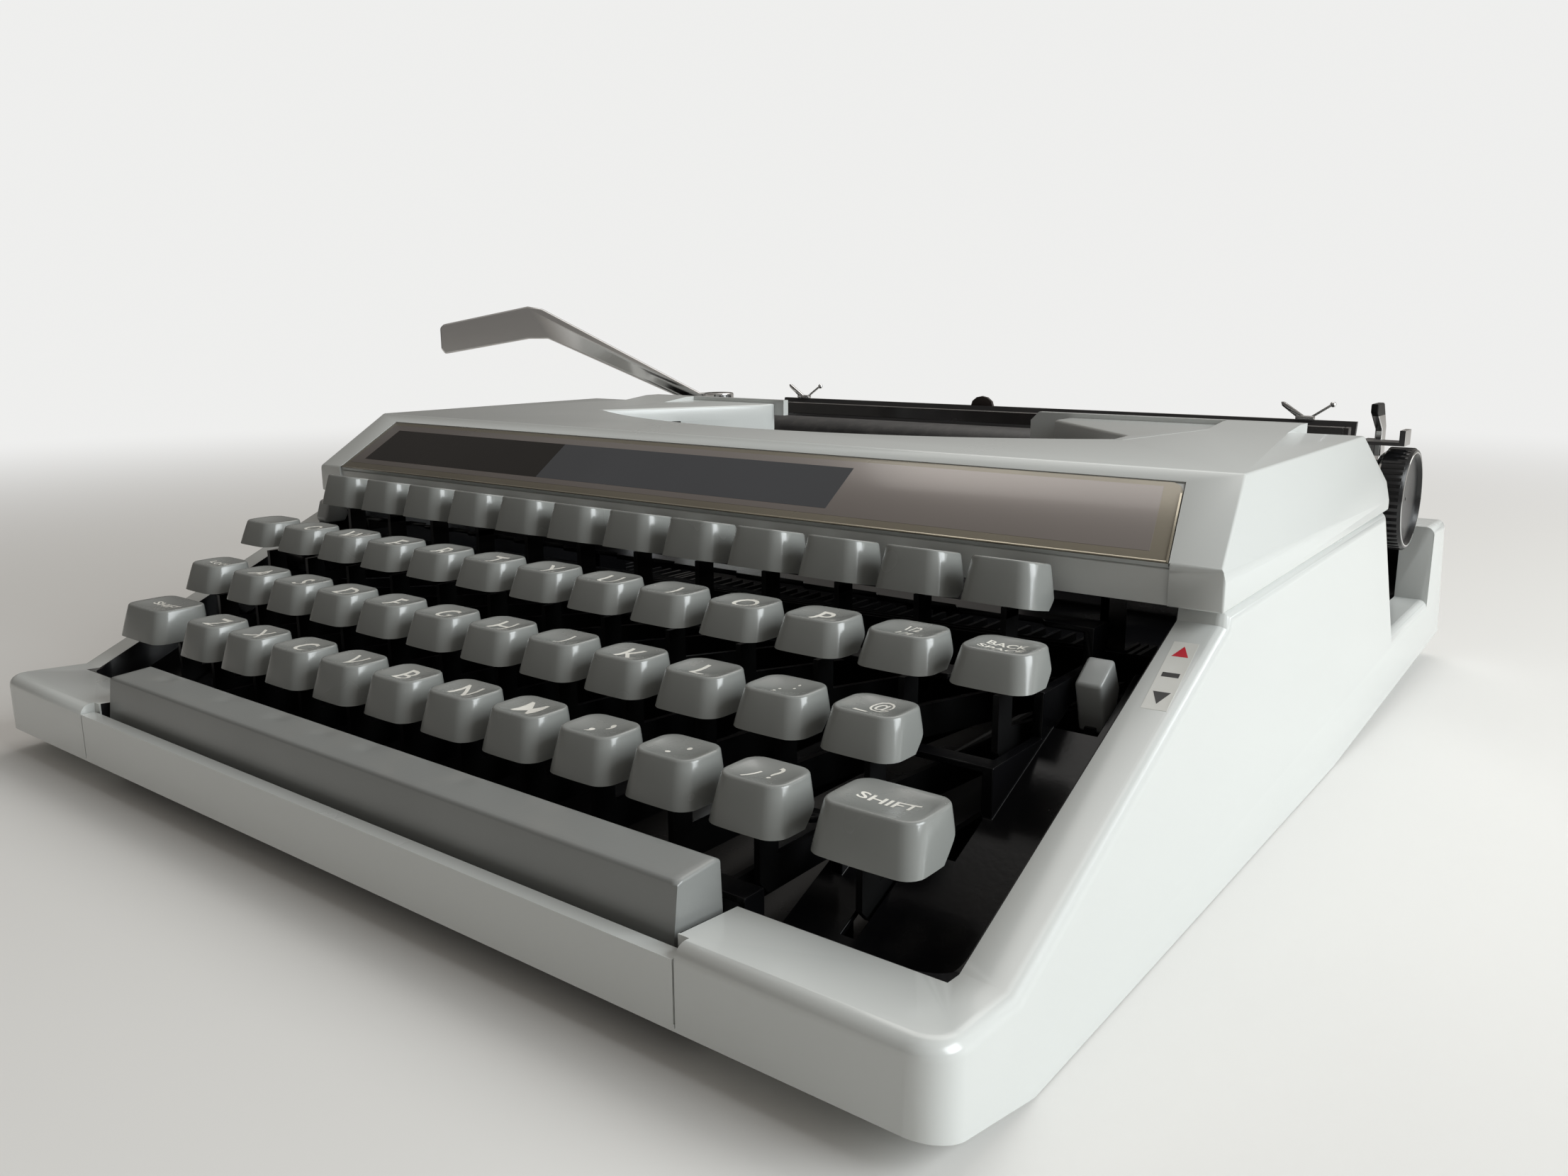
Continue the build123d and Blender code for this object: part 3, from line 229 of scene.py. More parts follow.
# Colour, second colour, roughness, scale and other settings of each finish; a colour given by name is the
# user's, and a second colour given as a number is a share of the first
FINISHES = {
    # The shell and the cover carry black painted shade inside their boxes
    "shell_plastic": ("shell", 0.975, 0.25, 6.0, dict(SHELL, painted_shade_boxes=SHELL_SHADE_BOXES)),
    "cover_plastic": ("shell", 0.975, 0.25, 6.0, dict(SHELL, painted_shade_boxes=COVER_SHADE_BOXES)),
    "lid_plastic": ("shell", 0.975, 0.25, 6.0, SHELL),
    "key_plastic": ("key", 0.9, 0.25, 60.0, dict(bump=0.03, dust=0.10, coat=0.3)),
    "bar_plastic": ("bar", 0.88, 0.34, 25.0,
                    dict(bump=0.04, dust=0.15, specks=0.78, speck_colour=(0.42, 0.43, 0.42), coat=0.2)),
    "legend_ink": ("legend", 0.86, 0.5, 200.0, {}),
    "black_sheet": ((0.0025, 0.0025, 0.003), (0.0035, 0.0035, 0.004), 0.20, 30.0,
                    dict(bump=0.03, dust=0.015, specks=0.76, speck_colour=(0.10, 0.095, 0.09),
                         specular=0.16)),
    "black_paint": ((0.004, 0.004, 0.0045), (0.007, 0.007, 0.007), 0.34, 50.0,
                    dict(bump=0.05, dust=0.03, specular=0.2)),
    "chrome": ((0.80, 0.80, 0.81), (0.72, 0.72, 0.74), 0.10, 40.0, dict(metallic=1.0, rough_drift=0.04)),
    "type_steel": ((0.42, 0.42, 0.43), (0.25, 0.25, 0.26), 0.32, 80.0,
                   dict(metallic=1.0, bump=0.05, dust=0.2)),
    "carriage_paint": ((0.030, 0.029, 0.030), (0.045, 0.043, 0.043), 0.34, 30.0, dict(bump=0.04, dust=0.25)),
    "bail_paint": ((0.020, 0.018, 0.018), (0.035, 0.030, 0.029), 0.25, 40.0,
                   dict(bump=0.03, dust=0.2, coat=0.2)),
    "platen_rubber": ("rubber", (0.020, 0.019, 0.019), 0.42, 60.0, dict(bump=0.08, dust=0.10)),
    "knob_plastic": ((0.006, 0.006, 0.007), (0.009, 0.009, 0.009), 0.22, 60.0, dict(bump=0.03, specular=0.4)),
    "lug_plastic": ((0.020, 0.013, 0.011), 0.86, 0.4, 80.0, dict(bump=0.03)),
    "grey_cap": ((0.36, 0.375, 0.37), (0.31, 0.32, 0.315), 0.30, 60.0, dict(bump=0.03, coat=0.2)),
    "panel_field": ("panel", 0.86, 0.30, 15.0, dict(metallic=0.35, bump=0.01, coat=0.3)),
    "border_metal": ((0.215, 0.192, 0.150), (0.185, 0.163, 0.125), 0.30, 50.0, dict(metallic=0.35)),
    # Lighter metal of the painted highlight along the border's right and lower edges
    "rim_metal": ((0.42, 0.38, 0.30), (0.34, 0.31, 0.25), 0.25, 50.0, dict(metallic=0.8)),
    "panel_block": ("block", 0.86, 0.30, 30.0, dict(bump=0.01, specular=0.35)),
    "panel_stripe": ("stripe", 0.86, 0.30, 30.0,
                     dict(bump=0.01, specks=0.80, speck_colour=(0.15, 0.15, 0.15))),
    "sticker_paper": ((0.66, 0.66, 0.63), (0.58, 0.57, 0.53), 0.55, 120.0,
                      dict(bump=0.05, specks=0.80, speck_colour=(0.45, 0.42, 0.36))),
    "sticker_red": ((0.55, 0.012, 0.03), 0.86, 0.45, 120.0, {}),
    "sticker_black": ((0.010, 0.010, 0.011), (0.016, 0.016, 0.016), 0.45, 120.0, {}),
    "floor_paint": ((0.74, 0.73, 0.71), (0.73, 0.72, 0.70), 0.7, 3.0, dict(bump=0.0)),
}
# Colour of settled dust, and the black of the painted shade inside the boxes above
DUST_COLOUR, PAINTED_SHADE_COLOUR = (0.30, 0.28, 0.25), (0.006, 0.006, 0.007)
# Patches of dust and nicks to each patch of a finish's slow drift
DUST_DENSITY, SPECK_DENSITY = 4.0, 14.0
DUST_ROUGHNESS, COAT_ROUGHNESS, RELIEF_DEPTH = 0.4, 0.12, 0.4 * MM


def finish(name):
    """Return the procedural material of a name in the table, made once."""
    if name in bpy.data.materials:
        return bpy.data.materials[name]
    colour, second, roughness, scale, others = FINISHES[name]
    if isinstance(colour, str):
        colour = tuple(getattr(bpy.context.scene.typewriter_colours, colour))
    if isinstance(second, float):
        second = tuple(value * second for value in colour)
    return new_material(name, colour, second, roughness, scale, **others)


def new_material(name, colour, second, roughness, scale, metallic=0.0, bump=0.02, dust=0.0, specks=0.0,
                 speck_colour=None, coat=0.0, specular=0.5, rough_drift=0.03, painted_shade_boxes=()):
    """Return a new material with drift, grain, dust, nicks, and black painted shade inside the given boxes.
    """
    material = bpy.data.materials.new(name)
    material.use_nodes = True
    tree = material.node_tree
    shader = tree.nodes["Principled BSDF"]
    tone = place_group(tree, moulded_tone(), Colour=rgba(colour), Second_Colour=rgba(second), Scale=scale)
    surface = tone["Colour"]
    rough = range_node(tree, tone["Drift"], 0.0, 1.0, roughness - rough_drift, roughness + rough_drift)
    if specks:
        nicks = place_group(tree, worn_specks(), Scale=scale * SPECK_DENSITY, Threshold=specks)["Mask"]
        surface = mix_colour(tree, nicks, surface, rgba(speck_colour))
    # Painted shade: the plastic turns black inside each box, where the inside of the shell and the cover lies
    # in shadow
    for low, high in painted_shade_boxes:
        inner = place_group(tree, inside_box(), Low=low, High=high)["Mask"]
        surface = mix_colour(tree, inner, surface, rgba(PAINTED_SHADE_COLOUR))
    if dust:
        settled = place_group(tree, settled_dust(), Scale=scale * DUST_DENSITY, Cover=dust)["Mask"]
        surface = mix_colour(tree, settled, surface, rgba(DUST_COLOUR))
        rougher = math_node(tree, "MULTIPLY", settled, DUST_ROUGHNESS)
        rough = math_node(tree, "ADD", rough, rougher, clamp=True)
    tree.links.new(surface, shader.inputs["Base Color"])
    tree.links.new(rough, shader.inputs["Roughness"])
    for label, value in (("Metallic", metallic), ("Specular IOR Level", specular), ("Coat Weight", coat),
                         ("Coat Roughness", COAT_ROUGHNESS)):
        shader.inputs[label].default_value = value
    relief = tree.nodes.new("ShaderNodeBump")
    relief.inputs["Strength"].default_value = bump
    relief.inputs["Distance"].default_value = RELIEF_DEPTH
    tree.links.new(tone["Grain"], relief.inputs["Height"])
    tree.links.new(relief.outputs["Normal"], shader.inputs["Normal"])
    return material


# Mesh helpers

# The platen's axis
PLATEN_Y, PLATEN_Z = 112.0, 55.8
# Width above which a face of a CAD shape stays flat
WIDE_FACE = 3.5
# Angles in degrees between faces: of a sharp line, of an edge that is softened, and of faces to merge
SHARP_LINE, SOFT_EDGE, FLAT = 38.0, 32.0, 1.0
# Below these distances two corners are one, in millimetres and for a CAD node in metres
SAME_CORNER, SAME_CAD_CORNER = 0.0005, 0.000002


def corner_box(low, high):
    """Return a bmesh box between two corners."""
    bm = bmesh.new()
    bmesh.ops.create_cube(bm, size=1.0)
    size = [b - a for a, b in zip(low, high)]
    centre = [(a + b) / 2 for a, b in zip(low, high)]
    bmesh.ops.scale(bm, vec=size, verts=bm.verts)
    bmesh.ops.translate(bm, vec=centre, verts=bm.verts)
    return bm


def outline_solid(points, axis, start, depth):
    """Return a bmesh of a flat outline that stands at a place of an axis, pushed along that axis."""
    bm = bmesh.new()
    corners = [(*point[:axis], start, *point[axis:]) for point in points]
    face = bm.faces.new([bm.verts.new(corner) for corner in corners])
    pushed = bmesh.ops.extrude_face_region(bm, geom=[face])
    moved = [item for item in pushed["geom"] if isinstance(item, bmesh.types.BMVert)]
    push = Vector()
    push[axis] = depth
    bmesh.ops.translate(bm, vec=push, verts=moved)
    bmesh.ops.recalc_face_normals(bm, faces=bm.faces)
    return bm


def bevel_edges(bm, edges, offset, segments=2):
    """Round some edges of a bmesh."""
    bmesh.ops.bevel(bm, geom=list(edges), offset=offset, offset_type="OFFSET", segments=segments, profile=0.5,
                    affect="EDGES", material=-1, clamp_overlap=True)


def sharp_edges(bm, degrees=30.0):
    """Return the edges whose two faces meet at more than an angle."""
    limit = math.radians(degrees)
    return [edge for edge in bm.edges if len(edge.link_faces) == 2 and edge.calc_face_angle(0.0) > limit]


def everything(bm):
    """Return all the corners, edges and faces of a bmesh."""
    return bm.verts[:] + bm.edges[:] + bm.faces[:]


def cut_off(bm, place, normal):
    """Cut away what lies past a plane and close the cut."""
    cut = bmesh.ops.bisect_plane(bm, geom=everything(bm), plane_co=place, plane_no=normal, clear_outer=True)
    rim = [item for item in cut["geom_cut"] if isinstance(item, bmesh.types.BMEdge)]
    bmesh.ops.edgeloop_fill(bm, edges=rim)


def turned_shape(profile, steps, side=1):
    """Return a bmesh of a profile of (x, radius) points spun about the platen's axis, on one side of it."""
    bm = bmesh.new()
    verts = [bm.verts.new((side * x, PLATEN_Y, PLATEN_Z + radius)) for x, radius in profile]
    edges = [bm.edges.new(pair) for pair in zip(verts, verts[1:])]
    bmesh.ops.spin(bm, geom=verts + edges, cent=(0, PLATEN_Y, PLATEN_Z), axis=(1, 0, 0), angle=2 * math.pi,
                   steps=steps, use_merge=True)
    bmesh.ops.remove_doubles(bm, verts=bm.verts, dist=SAME_CORNER)
    bmesh.ops.recalc_face_normals(bm, faces=bm.faces)
    return bm


def add_to(bm, other, material_index=0):
    """Add another bmesh to this one with a material number."""
    for face in other.faces:
        face.material_index = material_index
    mesh = bpy.data.meshes.new("carried")
    other.to_mesh(mesh)
    other.free()
    bm.from_mesh(mesh)
    bpy.data.meshes.remove(mesh)


def tilted_matrix(origin, along):
    """Return the matrix from flat coordinates to a slope that climbs along a direction across X."""
    across = Vector((1, 0, 0))
    along = Vector(along).normalized()
    turn = Matrix((across, along, across.cross(along))).transposed().to_4x4()
    return Matrix.Translation(origin) @ turn


def thin_plate(points, low, high, matrix, rounding=0.0):
    """Return a thin plate between two heights above the surface that a matrix leads to."""
    bm = outline_solid(points, 2, low, high - low)
    if rounding:
        bevel_edges(bm, sharp_edges(bm), rounding, 2)
    bmesh.ops.transform(bm, matrix=matrix, verts=bm.verts)
    bmesh.ops.recalc_face_normals(bm, faces=bm.faces)
    return bm


def show(name, data):
    """Put an object with some data in the scene and return it."""
    thing = bpy.data.objects.new(name, data)
    bpy.context.scene.collection.objects.link(thing)
    return thing


def make_piece(name, bm, finishes, body, stands_for=None, in_metres=False, bevel=0.0):
    """Turn a bmesh into a piece that rides on a body; only a CAD shape is in metres already."""
    if not in_metres:
        bmesh.ops.scale(bm, vec=(MM, MM, MM), verts=bm.verts)
    for face in bm.faces:
        width = face.calc_area() / max(edge.calc_length() for edge in face.edges)
        face.smooth = not in_metres or width < WIDE_FACE * MM
    mesh = bpy.data.meshes.new(name)
    bm.to_mesh(mesh)
    bm.free()
    piece = show(name, mesh)
    for finish_name in finishes:
        mesh.materials.append(finish(finish_name))
    mesh.set_sharp_from_angle(angle=math.radians(SHARP_LINE))
    if bevel:
        rounding = piece.modifiers.new("soft_edges", "BEVEL")
        rounding.width = bevel * MM
        rounding.segments = 2
        rounding.limit_method = "ANGLE"
        rounding.angle_limit = math.radians(SOFT_EDGE)
        rounding.harden_normals = True
    if stands_for:
        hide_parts(stands_for)
    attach(piece, body)


def merged_node(node_name):
    """Return a bmesh copy of a CAD node, in metres, with its triangles merged into flat faces."""
    bm = bmesh.new()
    bm.from_mesh(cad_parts[node_name].data)
    bmesh.ops.remove_doubles(bm, verts=bm.verts, dist=SAME_CAD_CORNER)
    bmesh.ops.dissolve_limit(bm, angle_limit=math.radians(FLAT), verts=bm.verts, edges=bm.edges,
                             use_dissolve_boundaries=False)
    for face in bm.faces:
        face.material_index = 0
    return bm


def make_cad_piece(name, bm, finishes, node_name, bevel, body=None):
    """Turn the reworked bmesh of a CAD node into the piece that stands for the node."""
    make_piece(name, bm, finishes, body or node_name, node_name, in_metres=True, bevel=bevel)


def drop_islands(bm, past_y):
    """Delete the connected parts that don't reach past a place along Y."""
    left = set(bm.verts)
    while left:
        island = {left.pop()}
        front = list(island)
        while front:
            near = {edge.other_vert(vert) for vert in front for edge in vert.link_edges} - island
            island |= near
            front = list(near)
        left -= island
        if max(vert.co.y for vert in island) <= past_y:
            bmesh.ops.delete(bm, geom=list(island), context="VERTS")


# Sizes and colours


def length(name, description, size):
    """Return a length property whose default is given in millimetres."""
    return FloatProperty(name=name, description=description, default=size * MM, unit="LENGTH")


def tint(name, description, default):
    """Return a colour property."""
    return FloatVectorProperty(name=name, description=description, subtype="COLOR", size=3, default=default,
                               min=0, max=1)


def strength(name, description, default, **kind):
    """Return a property of a light or the camera, which is never negative."""
    return FloatProperty(name=name, description=description, default=default, min=0.0, **kind)


class KeySizes(bpy.types.PropertyGroup):
    """Sizes of the key caps."""

    cap_height: length("Cap Height", "Height of a key cap", 7.7)
    top_width: length("Top Width", "Width of a cap at its top", 13.1)
    top_depth: length("Top Depth", "Depth of a cap at its top", 10.4)
    foot_width: length("Foot Width", "Width of a cap at its foot", 15.3)
    foot_depth: length("Foot Depth", "Depth of a cap at its foot", 12.6)
    corner: length("Corner", "Rounding of a cap's upright corners", 2.9)
    rim: length("Rim", "Rounding of the rim round a cap's top", 0.5)
    dish: length("Dish", "Depth of the dished top", 0.8)
    bulge: length("Bulge", "Outward curve of a cap's sides", 0.28)
    legend: length("Legend", "Height of a single letter", 5.7)


class FinishColours(bpy.types.PropertyGroup):
    """Colours of the main finishes."""

    shell: tint("Shell", "Body and cover plastic", (0.56, 0.575, 0.56))
    key: tint("Key", "Key caps", (0.235, 0.243, 0.232))
    bar: tint("Space Bar", "Space bar", (0.225, 0.232, 0.225))
    legend: tint("Legend", "Letters on the caps", (0.80, 0.78, 0.72))
    panel: tint("Panel", "Field of the trim panel", (0.220, 0.194, 0.180))
    stripe: tint("Stripe", "Slate stripe of the trim panel", (0.055, 0.058, 0.065))
    block: tint("Block", "Dark block of the trim panel", (0.009, 0.007, 0.006))
    rubber: tint("Rubber", "Platen roller", (0.010, 0.010, 0.011))


class StageSettings(bpy.types.PropertyGroup):
    """Light and camera of the stage."""

    side_power: strength("Side Light", "Power of the soft light on the right", 11.6, unit="POWER")
    top_power: strength("Top Light", "Power of the soft light above", 4.5, unit="POWER")
    ambient: strength("Ambient", "Strength of the light from all round", 0.24)
    lens: strength("Lens", "Focal length of the camera in mm", 28.048)


# Key caps

# Place of the front row of keys and the distance from row to row
FRONT_ROW_Y, ROW_PITCH = -127.4, 17.5
# Extra height, rise and slant of the caps from the front row to the number row
ROW_FORMS = [(0.5, 0.0, 0.0), (-0.6, 0.0, 0.0), (-1.3, 0.0, 0.0), (1.2, 0.9, 0.21)]
# From a key's front to the middle of its cap, and from the lock key's CAD cap to the place of its real one
CAP_SETBACK, LOCK_SHIFT = 7.0, -2.0
# Place, extra width and extra depth of the two shift caps
SHIFT_CAPS = [(-114.6, 5.6, 2.2), (108.2, 4.4, 2.2)]
# How far a cap's foot is shifted from its top, and the direction of the cut across its rear skirt
CAP_LEAN, SKIRT_CUT = -1.0, (0, 0.8, -1.0)
# Shares by which the rings of a dished top shrink, one after the other
DISH_RINGS = (0.86, 0.8, 0.7, 0.5, 0.1)
# The stem under a cap: half its width and depth, how far it reaches below the cap and into it
STEM_X, STEM_Y, STEM_BELOW, STEM_INSIDE = 0.6, 2.5, 1.2, 1.0
# Edges longer than this are divided so that they can curve
CURVED_LENGTH = 2.5
# Below this two heights are one
SAME_HEIGHT = 0.01


def dish_height(x, y, reach, depth):
    """Height of a dished top below its rim, for a place measured from the cap's middle."""
    across = max(0.0, 1.0 - (x / reach[0]) ** 2)
    along = max(0.0, 1.0 - (y / reach[1]) ** 2)
    return -depth * across * along


def dish_reach(sizes, extra_width, extra_depth):
    """Return half the width and half the depth of a dished top."""
    spare = sizes.bulge / 2 - sizes.rim
    return [(size / 2 + spare) / MM + extra / 2
            for size, extra in ((sizes.top_width, extra_width), (sizes.top_depth, extra_depth))]


def bulge_sides(bm, height, top_size, foot_size, bulge):
    """Curve the four sides of a cap outwards, more at its foot than at its top."""
    for vert in bm.verts:
        drop = -vert.co.z / height
        centre_y = CAP_LEAN * drop
        half_width, half_depth = [(top + (foot - top) * drop) / 2 for top, foot in zip(top_size, foot_size)]
        across = vert.co.x / half_width
        along = (vert.co.y - centre_y) / half_depth
        belly = bulge * (0.5 + 0.5 * drop + 2.0 * drop * (1.0 - drop))
        vert.co.x += belly * across * (1.0 - along ** 2)
        vert.co.y += belly * along * (1.0 - across ** 2)


def row_form(centre_y):
    """Return the extra height of a cap and the rise and slant of its top, which differ from row to row."""
    row = round((centre_y - FRONT_ROW_Y) / ROW_PITCH)
    return ROW_FORMS[min(max(row, 0), len(ROW_FORMS) - 1)]


def climb(edge):
    """Return the height between the two ends of an edge."""
    return abs(edge.verts[0].co.z - edge.verts[1].co.z)


def upright_edges(bm, height):
    """Return the edges that climb more than half of a height."""
    return [edge for edge in bm.edges if climb(edge) > height / 2]


def top_face(bm):
    """Return the highest face, or the widest one of them."""
    return max(bm.faces, key=lambda face: (round(face.calc_center_median().z, 3), face.calc_area()))


def cap_shape(centre_x, centre_y, top_z, extra_width, extra_depth):
    """Return a bmesh of one tapered cap with bulging sides, a dished top and a cut-back rear skirt."""
    sizes = bpy.context.scene.typewriter_keys
    extra_height, rise, slant = row_form(centre_y)
    height = sizes.cap_height / MM + extra_height
    top_size = (sizes.top_width / MM + extra_width, sizes.top_depth / MM + extra_depth)
    foot_size = (sizes.foot_width / MM + extra_width, sizes.foot_depth / MM + extra_depth)
    bm = bmesh.new()
    bmesh.ops.create_cube(bm, size=1.0)
    upper = [vert for vert in bm.verts if vert.co.z > 0]
    lower = [vert for vert in bm.verts if vert.co.z < 0]
    for level, size, shift in ((upper, top_size, 0.0), (lower, foot_size, CAP_LEAN)):
        bmesh.ops.scale(bm, vec=(*size, height), verts=level)
        bmesh.ops.translate(bm, vec=(0, shift, -height / 2), verts=level)
    bevel_edges(bm, upright_edges(bm, height), sizes.corner / MM, 6)
    bmesh.ops.subdivide_edges(bm, edges=upright_edges(bm, height), cuts=2, use_grid_fill=True)
    level_edges = [edge for edge in bm.edges
                   if climb(edge) < SAME_HEIGHT and edge.calc_length() > CURVED_LENGTH]
    bmesh.ops.subdivide_edges(bm, edges=level_edges, cuts=4, use_grid_fill=True)
    bulge_sides(bm, height, top_size, foot_size, sizes.bulge / MM)
    bevel_edges(bm, top_face(bm).edges, sizes.rim / MM, 3)
    top = top_face(bm)
    for share in DISH_RINGS:
        bmesh.ops.inset_individual(bm, faces=[top], thickness=0.01, use_even_offset=True)
        bmesh.ops.scale(bm, vec=(share, share, 1.0), verts=top.verts)
    reach = dish_reach(sizes, extra_width, extra_depth)
    for vert in bm.verts:
        if vert.co.z > -0.001:
            vert.co.z += dish_height(vert.co.x, vert.co.y, reach, sizes.dish / MM)
    cut_off(bm, (0, 0, -height), SKIRT_CUT)
    for vert in bm.verts:
        vert.co.z += rise - slant * vert.co.y
    bmesh.ops.translate(bm, vec=(centre_x, centre_y, top_z), verts=bm.verts)
    bmesh.ops.recalc_face_normals(bm, faces=bm.faces)
    return bm


def cap_places(node_name):
    """Return (x, y, top, extra width, extra depth) of the caps of a key node."""
    low, high = (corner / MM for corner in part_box(node_name))
    if node_name == "key_shift_pair":
        return [(x, FRONT_ROW_Y, high.z, *extra_size) for x, *extra_size in SHIFT_CAPS]
    shift = LOCK_SHIFT if node_name == "key_shift_lock" else 0.0
    return [((low.x + high.x) / 2 + shift, low.y + CAP_SETBACK, high.z, 0.0, 0.0)]


def key_names():
    """Return the names of all the key nodes but the space bar."""
    return [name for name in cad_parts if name.startswith("key_") and name != "key_space_bar"]


def lever_shape(node_name):
    """Return the lever parts of a key node in millimetres."""
    bm = merged_node(node_name)
    bmesh.ops.scale(bm, vec=(1 / MM, 1 / MM, 1 / MM), verts=bm.verts)
    drop_islands(bm, 0.0)
    return bm


class TYPEWRITER_OT_keys(bpy.types.Operator):
    """Make the key caps on their black levers"""

    bl_idname = "typewriter.keys"
    bl_label = "Keys"

    def execute(self, context):
        cap_height = context.scene.typewriter_keys.cap_height / MM
        for node_name in key_names():
            bm = bmesh.new()
            for place in cap_places(node_name):
                add_to(bm, cap_shape(*place))
                x, y, top_z = place[:3]
                foot_z = top_z - cap_height - row_form(y)[0]
                add_to(bm, corner_box((x - STEM_X, y - STEM_Y, foot_z - STEM_BELOW),
                                      (x + STEM_X, y + STEM_Y, foot_z + STEM_INSIDE)), 1)
            add_to(bm, lever_shape(node_name), 1)
            label = node_name.removeprefix("key_")
            make_piece("cap_" + label, bm, ["key_plastic", "black_paint"], node_name, node_name)
        return {"FINISHED"}


# Legends

# Place of a numeral and of the sign above it on a number key, and a numeral's height
NUMERAL_Y, SIGN_Y, NUMERAL_HEIGHT = -1.7, 1.9, 3.0
# How far legends stand above the dished top
LEGEND_ABOVE = 0.04
# How much words and single signs are thickened
WORD_WEIGHT, SIGN_WEIGHT = 0.018, 0.006
# Share of its natural width that a letter keeps
LETTER_WIDTH = 0.92
# Edges of a letter longer than this are divided to follow the dish
LEGEND_EDGE = 1.2


def stacked(numeral, sign, sign_y=SIGN_Y, sign_height=2.6):
    """Return the marks of a number key: a numeral with a sign above it."""
    return [(numeral, 0, NUMERAL_Y, NUMERAL_HEIGHT, 0), (sign, 0, sign_y, sign_height, 0)]


# Marks on the caps: text, place across and along the cap, height and width (0 keeps the letter's own width)
LEGENDS = {
    "key_num_01": [("1", 0, 0, 4.4, 0)],
    "key_num_02": stacked("2", '"', 2.0, 1.2),
    "key_num_03": stacked("3", "/"),
    "key_num_04": stacked("4", "@"),
    "key_num_05": stacked("5", "£"),
    "key_num_06": [("6", 0, NUMERAL_Y, NUMERAL_HEIGHT, 0), ("_", 0, 1.4, 0.4, 2.4)],
    "key_num_07": stacked("7", "&"),
    "key_num_08": stacked("8", "'", 2.2, 1.2),
    "key_num_09": stacked("9", "(", SIGN_Y, 2.8),
    "key_num_10": stacked("0", ")", SIGN_Y, 2.8),
    "key_num_11": [("-", 0, NUMERAL_Y, 0.4, 2.4), ("?", 0, SIGN_Y, 2.8, 0)],
    "key_num_12": [("=", 0, NUMERAL_Y, 1.4, 0), ("+", 0, SIGN_Y, 2.2, 0)],
    "key_fraction": [("1/4", 0, NUMERAL_Y, 2.2, 0), ("1/2", 0, 1.7, 2.2, 0)],
    "key_semicolon": [(";", -0.9, -1.7, 2.8, 0), (":", 1.2, 1.7, 2.2, 0)],
    "key_at": [("@", 0.7, 0.9, 4.6, 0), ("-", -1.3, -2.9, 0.9, 2.6)],
    "key_comma": [(",", -1.2, -1.5, 2.3, 0), (",", 1.2, 1.6, 2.3, 0)],
    "key_period": [(".", -1.1, -1.6, 1.1, 0), (".", 1.1, 1.6, 1.1, 0)],
    "key_slash": [("/", -1.9, -1.4, 4.2, 0), ("?", 1.4, 1.0, 4.6, 0)],
    "key_margin_release": [],
    "key_backspace": [("BACK", 0, 1.35, 1.9, 7.6), ("SPACE", 0, -1.35, 1.9, 8.6)],
    "key_shift_lock": [("LOCK", 0, 0, 2.0, 7.6)],
    "key_shift_pair": [("SHIFT", 0, 0.2, 2.4, 10.8)],
}


def text_shape(text, height, width):
    """Return a flat bmesh of a text round the origin, scaled to a height and to a width that isn't 0."""
    curve = bpy.data.curves.new("legend_text", "FONT")
    curve.body = text
    curve.align_x = "CENTER"
    curve.align_y = "CENTER"
    curve.resolution_u = 3
    curve.offset = WORD_WEIGHT if len(text) > 2 else SIGN_WEIGHT
    holder = show("legend_text", curve)
    mesh = bpy.data.meshes.new_from_object(holder)
    bm = bmesh.new()
    bm.from_mesh(mesh)
    bpy.data.objects.remove(holder)
    bpy.data.curves.remove(curve)
    bpy.data.meshes.remove(mesh)
    low = Vector([min(vert.co[axis] for vert in bm.verts) for axis in range(2)] + [0])
    high = Vector([max(vert.co[axis] for vert in bm.verts) for axis in range(2)] + [0])
    size = high - low
    stretch = height / size.y
    bmesh.ops.translate(bm, vec=-(low + high) / 2, verts=bm.verts)
    bmesh.ops.scale(bm, vec=(width / size.x if width else stretch * LETTER_WIDTH, stretch, 1), verts=bm.verts)
    long_edges = [edge for edge in bm.edges if edge.calc_length() > LEGEND_EDGE]
    bmesh.ops.subdivide_edges(bm, edges=long_edges, cuts=2)
    bmesh.ops.triangulate(bm, faces=bm.faces)
    return bm


def legend_shape(marks, place, sizes):
    """Return a bmesh of the marks on one cap, which follow its dished and slanted top."""
    x, y, top_z, extra_width, extra_depth = place
    reach = dish_reach(sizes, extra_width, extra_depth)
    rise, slant = row_form(y)[1:]
    bm = bmesh.new()
    for text, across, along, height, width in marks:
        mark = text_shape(text, height, width)
        bmesh.ops.translate(mark, vec=(across, along, 0), verts=mark.verts)
        for vert in mark.verts:
            dished = dish_height(vert.co.x, vert.co.y, reach, sizes.dish / MM)
            vert.co.z = LEGEND_ABOVE + dished + rise - slant * vert.co.y
        bmesh.ops.translate(mark, vec=(x, y, top_z), verts=mark.verts)
        add_to(bm, mark)
    return bm


class TYPEWRITER_OT_legends(bpy.types.Operator):
    """Put the letters, numerals and plain words on the key caps"""

    bl_idname = "typewriter.legends"
    bl_label = "Legends"

    def execute(self, context):
        sizes = context.scene.typewriter_keys
        for node_name in key_names():
            label = node_name.removeprefix("key_")
            marks = LEGENDS.get(node_name, [(label.upper(), 0, 0, sizes.legend / MM, 0)])
            if not marks:
                continue
            bm = bmesh.new()
            for place in cap_places(node_name):
                add_to(bm, legend_shape(marks, place, sizes))
            make_piece("legend_" + label, bm, ["legend_ink"], node_name)
        return {"FINISHED"}


# Space bar

BAR_HALF_LENGTH, BAR_ROUNDING = 89.0, 0.7
# The bar's end as (y, z), and the lengths that tell its long edges and those of its ends from the rest
BAR_END = [(-155.9, 12.0), (-154.2, 26.4), (-144.6, 26.9), (-143.8, 12.0)]
BAR_LONG_EDGE, BAR_END_EDGE = 100.0, 12.0
# The bar's top lies above this height, and its dents lie behind this place
BAR_TOP_Z, DENTS_BEHIND_Y = 25.5, -152.0
